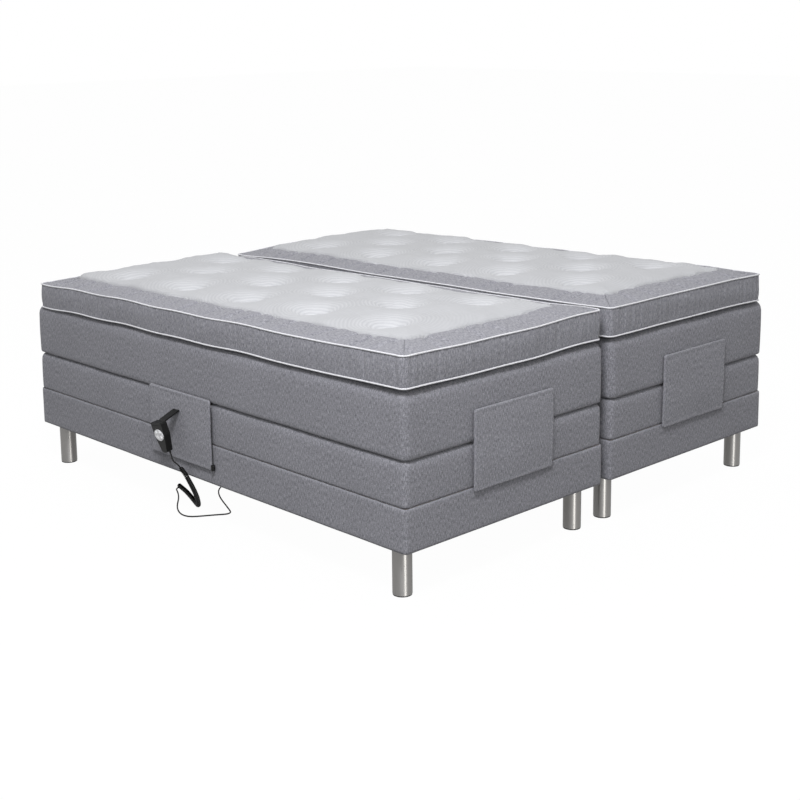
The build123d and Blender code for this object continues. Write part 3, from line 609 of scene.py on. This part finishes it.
def makeMattress(side):
    low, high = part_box(f"{side}_mattress_seat")
    endLow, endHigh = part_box(f"{side}_mattress_leg")[0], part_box(f"{side}_mattress_back")[1]
    half = np.array([(high.x - low.x) / 2, (endHigh.y - endLow.y) / 2])
    middle = np.array([centreOf(side), (endHigh.y + endLow.y) / 2])
    piece = gridBlock(f"{side}Mattress", mattress["cells"], mattress["layers"])
    points = readPoints(piece.data)
    points, way, depth = settle(
        points, half, mattress["corner"], low.z, high.z, mattress["edges"]
    )
    rise = (points[:, 2] - low.z) / (high.z - low.z)
    belly = np.sin(np.clip(rise, 0, 1) * math.pi)
    soft = ripple(points, (4, 4, 3), mattress["seeds"][side])
    shift = mattress["swell"] * (0.4 * belly - 0.35) + mattress["wave"] * soft
    points[:, :2] += way * (shift * (depth < 0.03))[:, None]
    shoulder = mattress["shoulder"] * np.exp(-depth / 0.03)
    points[:, 2] -= smooth(rise) * (mattress["sag"] * sagOf(points) + shoulder)
    points[:, :2] += middle
    writePoints(piece.data, points)
    snapRows(piece, (splitY,))
    writeUv(piece, middle)
    dress(piece, "mattress")
    for part in bendHalves(piece, side, "mattress"):
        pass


# Topper: a grey border round a tufted white panel, with light piping along both edges of its side band.
topper = {
    "cells": (124, 420),
    "layers": 12,
    "corner": 0.020,
    "edges": (0.006, 0.006),
    "border": 0.104,
    "rim": 0.0105,
    "slope": 0.016,
    "pad": 0.002,
    "sagTop": 0.031,
    "sagBottom": 0.022,
    "pucker": 0.0108,
    "panelCells": (84, 220),
    "panelEdge": 0.012,
    "panelRise": 0.018,
    "tuft": 0.050,
    "tuftReach": 0.062,
    "dimple": 0.007,
    "dimpleReach": 0.02,
    "valley": 0.0035,
    "sink": 0.052,
    "seam": 0.0022,
    "bandSwell": 0.0045,
    "bandGather": 0.0032,
    "bandBlotch": 0.0018,
    "sway": 0.0018,
    "wave": 0.004,
    "droop": 0.010,
    "droopReach": 0.16,
    "pullIn": 0.012,
    "scallop": 0.006,
    "scallopRise": 0.003,
    "piping": 0.0027,
}


topperSeeds = {"left": 5, "right": 29}


def topperBox(side):
    low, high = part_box(f"{side}_topper_seat")
    endLow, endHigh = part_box(f"{side}_topper_leg")[0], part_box(f"{side}_topper_back")[1]
    half = np.array([(high.x - low.x) / 2, (endHigh.y - endLow.y) / 2])
    middle = np.array([(high.x + low.x) / 2, (endHigh.y + endLow.y) / 2])
    return half, middle, low.z, high.z


def puckers(along, depth, seed, gaps=(0.05, 0.14), width=0.010):
    # short gathers that run in from the edge, unevenly spaced
    steps = np.random.default_rng(seed)
    count = int(6.6 / (gaps[0] + gaps[1]) * 2)
    places = np.cumsum(steps.uniform(*gaps, count)) - 2.4
    sizes = steps.uniform(0.3, 1.0, count)
    lean = steps.uniform(-0.35, 0.35, count)
    out = np.zeros(len(along))
    for place, size, tilt in zip(places, sizes, lean):
        off = (along - place - tilt * depth) / width
        out += size * np.exp(-off * off)
    return out


def scallops(along, seed):
    # the panel's seam swings in and out between its gathers
    steps = np.random.default_rng(seed)
    out = np.zeros(len(along))
    for wave in (2.7, 4.3, 6.1):
        out += np.sin(along * 2 * math.pi * wave + steps.uniform(0, 6.28)) * steps.uniform(0.3, 0.6)
    return out


def settleTopper(points, share, seed):
    # every layer of one topper rises, falls and settles together
    down = topper["sagBottom"] + (topper["sagTop"] - topper["sagBottom"]) * np.clip(share, 0, 1)
    points[:, 2] += softField(points, seed, topper["wave"]) - down * sagOf(points)
    off = np.hypot(0.45 - np.abs(points[:, 0]), np.maximum(0.98 - points[:, 1], 0))
    points[:, 2] -= topper["droop"] * np.exp(-((off / topper["droopReach"]) ** 2))
    points[:, 1] -= topper["pullIn"] * smooth((points[:, 1] - 0.7) / 0.28)


def makeTopperBody(side):
    half, middle, bottom, top = topperBox(side)
    seed = topperSeeds[side]
    piece = gridBlock(f"{side}TopperBody", topper["cells"], topper["layers"])
    points, way, depth = settle(
        readPoints(piece.data), half, topper["corner"], bottom, top - topper["rim"],
        topper["edges"], 0.86
    )
    share = (points[:, 2] - bottom) / (top - topper["rim"] - bottom)
    upper = smooth((share - 0.55) / 0.4)
    border = topper["border"]
    # top face: the border is a low pad, and the middle sinks under the panel
    arch = np.sin(np.clip(depth / border, 0, 1) * math.pi) ** 0.8
    slope = topper["slope"] * smooth(depth / border * 0.85)
    points[:, 2] += upper * (topper["pad"] * arch + slope)
    points[:, 2] -= upper * topper["sink"] * smooth((depth - border - 0.010) / 0.02)
    along = np.where(np.abs(way[:, 0]) > 0.7, points[:, 1], points[:, 0] + 3.3)
    folds = puckers(along, depth, seed)
    reach = smooth(depth / 0.02) * smooth((border + 0.01 - depth) / 0.04 + 0.35)
    points[:, 2] -= upper * topper["pucker"] * folds * reach * (depth < border + 0.02)
    # mitre seams
    corner = np.abs((half[0] - np.abs(points[:, 0])) - (half[1] - np.abs(points[:, 1])))
    points[:, 2] -= upper * topper["seam"] * np.exp(-((corner / 0.006) ** 2)) * (depth < border)
    # side band: it swells between the two pipings
    band = np.sin(np.clip(share, 0, 1) * math.pi)
    gather = puckers(along, share * 0.02, seed + 1, (0.015, 0.05), 0.007)
    blotch = ripple(points, (7, 7, 14), seed)
    swell = topper["bandSwell"] * band - topper["bandGather"] * gather * np.sqrt(band)
    swell += topper["bandBlotch"] * blotch * band
    points[:, :2] += way * (swell * (depth < 0.02))[:, None]
    points[:, 2] += (1 - upper) * 0.003 * np.exp(-depth / 0.03)
    settleTopper(points, share, seed)
    sway = topper["sway"] * ripple(points, (4, 4, 0), seed + 7) * (depth < 0.05)
    points[:, :2] += way * sway[:, None]
    points[:, :2] += middle
    writePoints(piece.data, points)
    snapRows(piece, (splitY,))
    writeUv(piece, middle)
    crown = piece.data.attributes.new("crown", "FLOAT", "POINT")
    crown.data.foreach_set("value", (upper * (depth > 0.002)).astype(np.float32))
    dress(piece, "border")
    for part in bendHalves(piece, side, "topper"):
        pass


def tufts():
    places = []
    for y in quilt["outerY"]:
        for sx in (-1, 1):
            for sy in (-1, 1) if y else (1,):
                places.append((sx * quilt["rowX"], sy * y))
    for y in quilt["middleY"]:
        for sy in (-1, 1):
            places.append((0.0, sy * y))
    return places


def makeTopperPanel(side):
    half, middle, bottom, top = topperBox(side)
    seed = topperSeeds[side]
    inner = half - topper["border"]
    piece = gridBlock(f"{side}TopperPanel", topper["panelCells"], 5)
    low = top - 0.045
    points, way, depth = settle(
        readPoints(piece.data), inner, 0.018, low, top + 0.008, (0.004, topper["panelEdge"]), 0.7
    )
    upper = smooth((points[:, 2] - low) / (top - low))
    points[:, 2] += upper * topper["panelRise"] * (1 - np.exp(-depth / 0.045))
    steps = np.random.default_rng(seed)
    for x, y in tufts():
        dx = points[:, 0] - x - steps.uniform(-0.006, 0.006)
        dy = points[:, 1] - y - steps.uniform(-0.006, 0.006)
        r = np.hypot(dx, dy)
        deep = steps.uniform(0.9, 1.06)
        for kind in ("tuft", "dimple"):
            bowl = np.exp(-((r / topper[f"{kind}Reach"]) ** 2))
            points[:, 2] -= upper * deep * topper[kind] * bowl
        # a soft valley to each side, towards the neighbouring tufts
        valley = np.exp(-((dy / 0.022) ** 2)) * np.exp(-((dx / 0.12) ** 2))
        points[:, 2] -= upper * topper["valley"] * valley
    points[:, 2] += upper * 0.003 * ripple(points, (8, 8, 0), seed + 3)
    points[:, 2] += upper * 0.0012 * ripple(points, (25, 25, 0), seed + 4)
    beside, across = points[:, 1] + way[:, 0] * 2, points[:, 0] + way[:, 1] * 5
    along = np.where(np.abs(way[:, 0]) > 0.7, beside, across)
    gathers = scallops(along, seed + 11) * np.exp(-depth / 0.05)
    points[:, :2] += way * (topper["scallop"] * gathers)[:, None]
    points[:, 2] += upper * topper["scallopRise"] * gathers
    settleTopper(points, 0.75, seed)
    points[:, :2] += middle
    writePoints(piece.data, points)
    snapRows(piece, (splitY,))
    writeUv(piece, middle)
    dress(piece, "panel")
    for part in bendHalves(piece, side, None):
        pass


def halfOutline(half, corner, sign, cut, step=0.02):
    # one U-shaped half of the topper's outline, from the cut round the end and back to the cut
    x, y = half
    rim = [(-x, t) for t in np.arange(cut, sign * (y - corner), sign * step)]
    for turn in np.linspace(0, math.pi / 2, 7):
        inX, inY = corner - corner * math.cos(turn), y - corner + corner * math.sin(turn)
        rim.append((-x + inX, sign * inY))
    mirrored = [(-px, py) for px, py in reversed(rim)]
    across = [(t, sign * y) for t in np.arange(-x + corner + step, x - corner - step / 2, step)]
    return rim + across + mirrored


def tubeFrom(name, route, radius):
    data = bpy.data.curves.new(name, "CURVE")
    data.dimensions = "3D"
    data.bevel_depth = radius
    data.bevel_resolution = 2
    line = data.splines.new("POLY")
    line.points.add(len(route) - 1)
    for point, place in zip(line.points, route):
        point.co = (*place, 1)
    piece = bpy.data.objects.new(name, data)
    bpy.context.scene.collection.objects.link(piece)
    activate(piece)
    bpy.ops.object.convert(target="MESH")
    piece = bpy.context.object
    piece.data.shade_smooth()
    return piece


def makePiping(side):
    half, middle, bottom, top = topperBox(side)
    seed = topperSeeds[side]
    for level, height in (("Top", top - topper["rim"] - 0.002), ("Bottom", bottom + 0.0045)):
        for end, sign, body, zone in (
            ("Head", 1, f"{side}_back", blendBack),
            ("Foot", -1, f"{side}_leg_rest", blendLeg),
        ):
            out = half + 0.0012
            route = np.array([
                (x, y, height)
                for x, y in halfOutline(out, topper["corner"] + 0.001, sign, splitY - middle[1])
            ])
            share = (height - bottom) / (top - topper["rim"] - bottom)
            way, depth = outward(route[:, :2], half, topper["corner"])
            sway = topper["sway"] * ripple(route, (4, 4, 0), seed + 7)
            settleTopper(route, share, seed)
            route[:, :2] += way * sway[:, None] + middle
            piece = tubeFrom(f"{side}{level}Piping{end}", route, topper["piping"])
            writeUv(piece, middle)
            dress(piece, "piping")
            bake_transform(piece)


# Middle layer: three upholstered stretches over the hinged frame, each open below.
middleLayer = {"cells": (64, 150), "layers": 11, "corner": 0.018, "edges": (0.003, 0.025),
               "wall": 0.0095, "seeds": {"left": 41, "right": 57}}


def solidify(piece, thickness):
    activate(piece)
    modifier = piece.modifiers.new("wall", "SOLIDIFY")
    modifier.thickness = thickness
    modifier.offset = -1
    modifier.use_even_offset = True
    bpy.ops.object.modifier_apply(modifier=modifier.name)


def dropFaces(piece, test):
    selectFaces(piece, test)
    bpy.ops.mesh.delete(type="FACE")
    bpy.ops.object.mode_set(mode="OBJECT")


def makeMiddle(side):
    boxes = {key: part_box(f"{side}_{key}_cover") for key in ("leg", "seat", "back")}
    low, high = boxes["seat"]
    half = np.array([(high.x - low.x) / 2, (boxes["back"][1].y - boxes["leg"][0].y) / 2])
    centre = np.array([centreOf(side), (boxes["back"][1].y + boxes["leg"][0].y) / 2])
    piece = gridBlock(f"{side}SeatCover", middleLayer["cells"], middleLayer["layers"])
    points, way, depth = settle(
        readPoints(piece.data), half, middleLayer["corner"], low.z, high.z, middleLayer["edges"]
    )
    share = (points[:, 2] - low.z) / (high.z - low.z)
    soft = 0.0011 * ripple(points, (5, 5, 4), middleLayer["seeds"][side])
    soft = soft + 0.0012 * np.sin(share * math.pi) - 0.0006
    points[:, :2] += way * (soft * (depth < 0.03))[:, None]
    points[:, :2] += centre
    writePoints(piece.data, points)
    cuts = (boxes["leg"][1].y, boxes["seat"][0].y, boxes["seat"][1].y, boxes["back"][0].y)
    snapRows(piece, cuts)
    bottom = low.z + 0.0006
    dropFaces(piece, lambda c: (c[:, 2] < bottom) & (depthOf(c, centre, half) > 0.012))
    dropFaces(piece, lambda c: (c[:, 1] > cuts[0]) & (c[:, 1] < cuts[1]))
    dropFaces(piece, lambda c: (c[:, 1] > cuts[2]) & (c[:, 1] < cuts[3]))
    leg = splitOff(piece, f"{side}LegCover", lambda c: c[:, 1] < cuts[0])
    back = splitOff(piece, f"{side}BackCover", lambda c: c[:, 1] > cuts[3])
    for part, key, body in (
        (leg, "leg", f"{side}_leg_rest"), (piece, "seat", "base"), (back, "back", f"{side}_back"),
    ):
        solidify(part, middleLayer["wall"])
        part.data.shade_smooth()
        writeUv(part, centre)
        dress(part, "upholstery")
        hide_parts(f"{side}_{key}_cover")
        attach(part, body)


# Lower box: a taut cloth cover, open above and below inside its folded rims.
lowerBox = {"cells": (44, 96), "layers": 8, "corner": 0.014, "edges": (0.003, 0.0045), "rim": 0.033,
            "rimSlope": 0.007, "rimHeight": 0.0085, "wall": 0.0018, "seeds": {"left": 71, "right": 83}}


def makeLower(side):
    low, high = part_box(f"{side}_base_cover")
    half = np.array([(high.x - low.x) / 2, (high.y - low.y) / 2])
    centre = np.array([(high.x + low.x) / 2, (high.y + low.y) / 2])
    piece = gridBlock(f"{side}BaseCover", lowerBox["cells"], lowerBox["layers"])
    points, way, depth = settle(
        readPoints(piece.data), half, lowerBox["corner"], low.z, high.z, lowerBox["edges"], 0.9
    )
    soft = 0.0007 * ripple(points, (5, 5, 4), lowerBox["seeds"][side]) - 0.0006
    points[:, :2] += way * (soft * (depth < 0.02))[:, None]
    upper = points[:, 2] > (low.z + high.z) / 2
    points[:, 2] -= upper * lowerBox["rimSlope"] * smooth((depth - 0.003) / 0.012)
    points[:, :2] += centre
    writePoints(piece.data, points)
    middle = (low.z + high.z) / 2
    reach = (high.z - low.z) / 2 - lowerBox["rimHeight"]
    level = lambda c: np.abs(c[:, 2] - middle) > reach
    dropFaces(piece, lambda c: level(c) & (depthOf(c, centre, half) > lowerBox["rim"]))
    solidify(piece, lowerBox["wall"])
    piece.data.shade_smooth()
    writeUv(piece, centre)
    dress(piece, "upholstery")
    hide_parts(f"{side}_base_cover")
    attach(piece, "base")


# Flaps: thin hemmed pads that hang over the gap between the boxes.
flap = {
    "cells": (64, 44),
    "layers": 3,
    "corner": 0.009,
    "rim": 0.0035,
    "hem": 0.013,
    "thick": 0.0092,
    "stand": 0.0098,
    "bottom": {"side": 0.205, "foot": 0.278},
    "strapSpace": 0.010,
    "stitch": 0.0010,
    "grain": 0.0004,
    "crown": 0.0012,
    "wave": 0.0022,
    "limits": (-0.0016, 0.0125),
    "thinning": 0.45,
    "seeds": {"leftside": 3, "leftfoot": 11, "rightside": 19, "rightfoot": 27},
}


def makeFlap(side, kind):
    low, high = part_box(f"{side}_{kind}_flap")
    lengthwise = kind == "side"
    outside = -1 if side == "left" or not lengthwise else 1
    axis = 0 if lengthwise else 1
    face = low[axis] if outside < 0 else high[axis]
    if lengthwise:
        low = Vector((low.x, low.y + (flap["strapSpace"] if side == "left" else 0), low.z))
    lowZ = flap["bottom"][kind]
    across = 1 - axis
    half = np.array([(high[across] - low[across]) / 2, (high.z - lowZ) / 2])
    centre = ((high[across] + low[across]) / 2, (high.z + lowZ) / 2)
    piece = gridBlock(f"{side}{kind.capitalize()}Flap", flap["cells"], flap["layers"])
    points, way, depth = settle(
        readPoints(piece.data), half, flap["corner"], 0.0, flap["thick"], (0.002, flap["rim"]), 0.75
    )
    seed = flap["seeds"][side + kind]
    front = points[:, 2] / flap["thick"]
    hem = np.exp(-(((depth - flap["hem"]) / 0.0022) ** 2))
    grain = ripple(points, (30, 30, 0), seed)
    points[:, 2] -= front * (flap["stitch"] * hem + flap["grain"] * grain)
    points[:, 2] += front * flap["crown"] * smooth((depth - flap["hem"]) / 0.03)
    lowEnd = smooth((-points[:, 1] / half[1] + 0.2) / 1.2)
    points[:, 2] += flap["wave"] * ripple(points, (7, 3, 0), seed) * (0.3 + lowEnd)
    points[:, 2] = np.clip(points[:, 2], *flap["limits"])
    points[:, 2] *= 1 - flap["thinning"] * smooth((-points[:, 1] / half[1] - 0.2) / 0.8)
    settled = np.zeros_like(points)
    settled[:, across] = points[:, 0] + centre[0]
    settled[:, 2] = points[:, 1] + centre[1]
    settled[:, axis] = face - outside * flap["stand"] + outside * points[:, 2]
    writePoints(piece.data, settled)
    activate(piece)
    bpy.ops.object.mode_set(mode="EDIT")
    turnOutward()
    piece.data.shade_smooth()
    writeUv(piece)
    dress(piece, "flap")
    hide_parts(f"{side}_{kind}_flap")
    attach(piece, "base" if lengthwise else f"{side}_leg_rest")


# Cords: the points are the CAD routes, in metres.
lead = [
    (-0.9324, 0.0733, 0.2411), (-0.9304, 0.0717, 0.2314), (-0.930, 0.069, 0.218),
    (-0.924, 0.065, 0.208), (-0.916, 0.061, 0.201), (-0.911, 0.054, 0.191),
]
coil = [
    (-0.911, 0.054, 0.191), (-0.902, 0.0414, 0.173), (-0.895, 0.033, 0.152), (-0.882, 0.032, 0.126),
    (-0.862, 0.044, 0.097), (-0.837, 0.066, 0.065), (-0.816, 0.088, 0.033), (-0.798, 0.114, 0.012),
    (-0.780, 0.154, 0.0086), (-0.758, 0.208, 0.0086), (-0.736, 0.266, 0.0086),
    (-0.722, 0.310, 0.0086), (-0.711, 0.351, 0.0086),
]
floorLead = [
    (-0.722, 0.346, 0.0026), (-0.730, 0.341, 0.0026), (-0.736, 0.332, 0.0026), (-0.743, 0.318, 0.0026),
    (-0.757, 0.292, 0.0026), (-0.786, 0.248, 0.0026), (-0.820, 0.208, 0.0026), (-0.851, 0.166, 0.0026),
    (-0.872, 0.124, 0.0026), (-0.879, 0.088, 0.0026), (-0.867, 0.060, 0.0026), (-0.835, 0.040, 0.0026),
    (-0.796, 0.016, 0.0026), (-0.776, 0.002, 0.0026), (-0.764, -0.0045, 0.0026), (-0.753, -0.004, 0.0026),
    (-0.744, 0.003, 0.0026), (-0.738, 0.014, 0.0026), (-0.728, 0.036, 0.0026), (-0.708, 0.082, 0.0026),
    (-0.685, 0.136, 0.0026), (-0.656, 0.190, 0.0026), (-0.622, 0.233, 0.0026), (-0.578, 0.258, 0.0026),
    (-0.532, 0.256, 0.0026), (-0.494, 0.232, 0.004), (-0.470, 0.206, 0.024), (-0.460, 0.198, 0.062),
    (-0.457, 0.202, 0.116), (-0.458, 0.200, 0.180), (-0.458, 0.200, 0.238),
]
cordSizes = {
    "diameter": 0.005,
    "radius": 0.006,
    "pitch": 0.0057,
    "steps": 16,
    "leadTurns": 1.2,
    "rounded": 0.995,
    "pullDiameter": 0.003,
}


def nurbsLine(name, places, thickness):
    data = bpy.data.curves.new(name, "CURVE")
    data.dimensions = "3D"
    data.bevel_depth = thickness / 2
    data.bevel_resolution = 2
    line = data.splines.new("NURBS")
    line.points.add(len(places) - 1)
    for point, place in zip(line.points, places):
        point.co = (*place, 1)
    line.order_u = 3
    line.use_endpoint_u = True
    piece = bpy.data.objects.new(name, data)
    bpy.context.scene.collection.objects.link(piece)
    return piece


def routeOf(places, step):
    guide = nurbsLine("guide", places, 0)
    guide.data.splines[0].resolution_u = 24
    bpy.context.view_layer.update()
    mesh = bpy.data.meshes.new_from_object(guide)
    points = readPoints(mesh)
    bpy.data.objects.remove(guide)
    bpy.data.meshes.remove(mesh)
    gaps = np.linalg.norm(np.diff(points, axis=0), axis=1)
    keep = np.concatenate([[True], gaps > 1e-7])
    points = points[keep]
    length = np.concatenate([[0], np.cumsum(np.linalg.norm(np.diff(points, axis=0), axis=1))])
    count = max(2, int(length[-1] / step))
    places = np.linspace(0, length[-1], count + 1)
    return np.column_stack([np.interp(places, length, points[:, k]) for k in range(3)]), length[-1]


def helixAlong(places):
    radius, pitch, steps = cordSizes["radius"], cordSizes["pitch"], cordSizes["steps"]
    line, length = routeOf(places, pitch / steps)
    turns = length / pitch
    heading = np.gradient(line, axis=0)
    heading /= np.linalg.norm(heading, axis=1)[:, None]
    across = np.zeros_like(line)
    side = np.cross(heading[-1], (0, 0, 1.0))
    across[-1] = np.cross(side, heading[-1]) / np.linalg.norm(side)
    for i in range(len(line) - 2, -1, -1):
        turned = across[i + 1] - heading[i] * across[i + 1].dot(heading[i])
        across[i] = turned / np.linalg.norm(turned)
    upright = np.cross(heading, across)
    share = np.linspace(0, 1, len(line))
    angle = math.pi + (share - 1) * turns * 2 * math.pi
    grow = smooth(share * turns / cordSizes["leadTurns"]) * radius
    return line + (grow * np.cos(angle))[:, None] * across + (grow * np.sin(angle))[:, None] * upright


def makeCords():
    twist = helixAlong(coil)
    places = lead[:-1] + [tuple(p) for p in twist] + floorLead
    cord = nurbsLine("handsetCord", places, cordSizes["diameter"])
    cord.data.splines[0].resolution_u = 2
    cord.data.materials.append(finishes["cord"])
    # the smooth line runs a little inside the corners of its points
    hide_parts("handset_lead", "curly_cord", "floor_lead")
    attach(cord, "base")
    low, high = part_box("flap_cord")
    x, y = (low.x + high.x) / 2, (low.y + high.y) / 2
    drop = high.z - low.z
    sway = (0, 0.0006, 0.0011, 0.0008, 0.0002, 0.0)
    places = [(x - s, y + s, high.z - drop * i / (len(sway) - 1)) for i, s in enumerate(sway)]
    pull = nurbsLine("pullCord", places, cordSizes["pullDiameter"])
    pull.data.materials.append(finishes["pullCord"])
    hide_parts("flap_cord")
    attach(pull, "base")


print("making the cords")
makeCords()
for side in sides:
    print(f"making the {side} mattress and topper")
    makeMattress(side)
    makeTopperBody(side)
    makeTopperPanel(side)
    makePiping(side)
    print(f"making the {side} covers and flaps")
    makeMiddle(side)
    makeLower(side)
    makeFlap(side, "side")
    makeFlap(side, "foot")

# Camera and light.
camera = {
    "place": (-3.5839, -3.8048, 1.6754),
    "yaw": 0.7654,
    "pitch": -0.1824,
    "roll": -0.0111,
    "lens": 64.73,
    "shift": -0.15,
}


def makeCamera():
    data = bpy.data.cameras.new("studioCamera")
    data.lens = camera["lens"]
    data.sensor_width = 36
    data.shift_y = camera["shift"]
    eye = bpy.data.objects.new("studioCamera", data)
    bpy.context.scene.collection.objects.link(eye)
    turn = Matrix.Rotation(-camera["yaw"], 4, "Z")
    turn = turn @ Matrix.Rotation(math.pi / 2 + camera["pitch"], 4, "X")
    turn = turn @ Matrix.Rotation(camera["roll"], 4, "Z")
    eye.matrix_world = Matrix.Translation(camera["place"]) @ turn
    bpy.context.scene.camera = eye


studio = {
    "floorColour": (0.25, 0.25, 0.25, 1),
    "floorWhite": 1.065,
    "floorSeen": 0.92,
    "floorGloss": 0.6,
    "worldLight": 0.52,
}


def makeFloor():
    bpy.ops.object.select_all(action="DESELECT")
    bpy.ops.mesh.primitive_plane_add(size=60, location=(0, 0, -0.0005))
    floor = bpy.context.object
    floor.name = "studioFloor"
    material, tree, shader = newMaterial("studioFloor")
    shader.inputs["Base Color"].default_value = studio["floorColour"]
    shader.inputs["Roughness"].default_value = 0.9
    shader.inputs["Specular IOR Level"].default_value = 0.0
    glow = addNode(tree, "ShaderNodeEmission")
    glow.inputs["Color"].default_value = (1, 1, 1, 1)
    glow.inputs["Strength"].default_value = studio["floorWhite"]
    paths = addNode(tree, "ShaderNodeLightPath")
    mix = addNode(tree, "ShaderNodeMixShader")
    seen = mathOf(tree, "MAXIMUM", paths.outputs["Is Camera Ray"], paths.outputs["Is Transmission Ray"])
    glossy = mathOf(tree, "MULTIPLY", paths.outputs["Is Glossy Ray"], studio["floorGloss"])
    seen = mathOf(tree, "MAXIMUM", seen, glossy)
    seen = mathOf(tree, "MULTIPLY", seen, studio["floorSeen"])
    tree.links.new(seen, mix.inputs[0])
    tree.links.new(shader.outputs[0], mix.inputs[1])
    tree.links.new(glow.outputs[0], mix.inputs[2])
    tree.links.new(mix.outputs[0], tree.nodes["Material Output"].inputs["Surface"])
    floor.data.materials.append(material)


def makeLight():
    world = bpy.data.worlds.new("studio")
    bpy.context.scene.world = world
    world.use_nodes = True
    tree = world.node_tree
    back = tree.nodes["Background"]
    back.inputs["Color"].default_value = (1, 1, 1, 1)
    paths = addNode(tree, "ShaderNodeLightPath")
    seen = mathOf(tree, "MAXIMUM", paths.outputs["Is Camera Ray"], paths.outputs["Is Transmission Ray"])
    seen = mathOf(tree, "MAXIMUM", seen, paths.outputs["Is Glossy Ray"])
    strength = mathOf(tree, "MULTIPLY_ADD", seen, 1 - studio["worldLight"], studio["worldLight"])
    tree.links.new(strength, back.inputs["Strength"])
    for name, place, size, power, colour in (
        ("topLight", (0.5, 1.3, 4.6), (3.0, 3.0), 48, (1.0, 1.0, 1.0)),
        ("keyLight", (-3.0, -2.6, 4.5), (1.2, 1.2), 198, (0.975, 0.98, 1.025)),
        ("frontLight", (-3.4, -4.4, 2.6), (1.4, 1.4), 24, (1.0, 1.0, 1.0)),
        ("stripLight", (-1.6, -5.0, 0.80), (0.36, 1.6), 150, (1.0, 0.99, 0.97)),
    ):
        data = bpy.data.lights.new(name, "AREA")
        data.shape = "RECTANGLE"
        data.size, data.size_y = size
        data.energy = power
        data.color = colour
        lamp = bpy.data.objects.new(name, data)
        bpy.context.scene.collection.objects.link(lamp)
        lamp.location = place
        # the strip only draws the bright band on metal
        lamp.visible_diffuse = name != "stripLight"
        lamp.rotation_euler = (Vector((0, 0, 0.4)) - Vector(place)).to_track_quat("-Z", "Y").to_euler()


print("camera and light")
makeCamera()
makeFloor()
makeLight()
bpy.context.scene.view_settings.view_transform = "Standard"
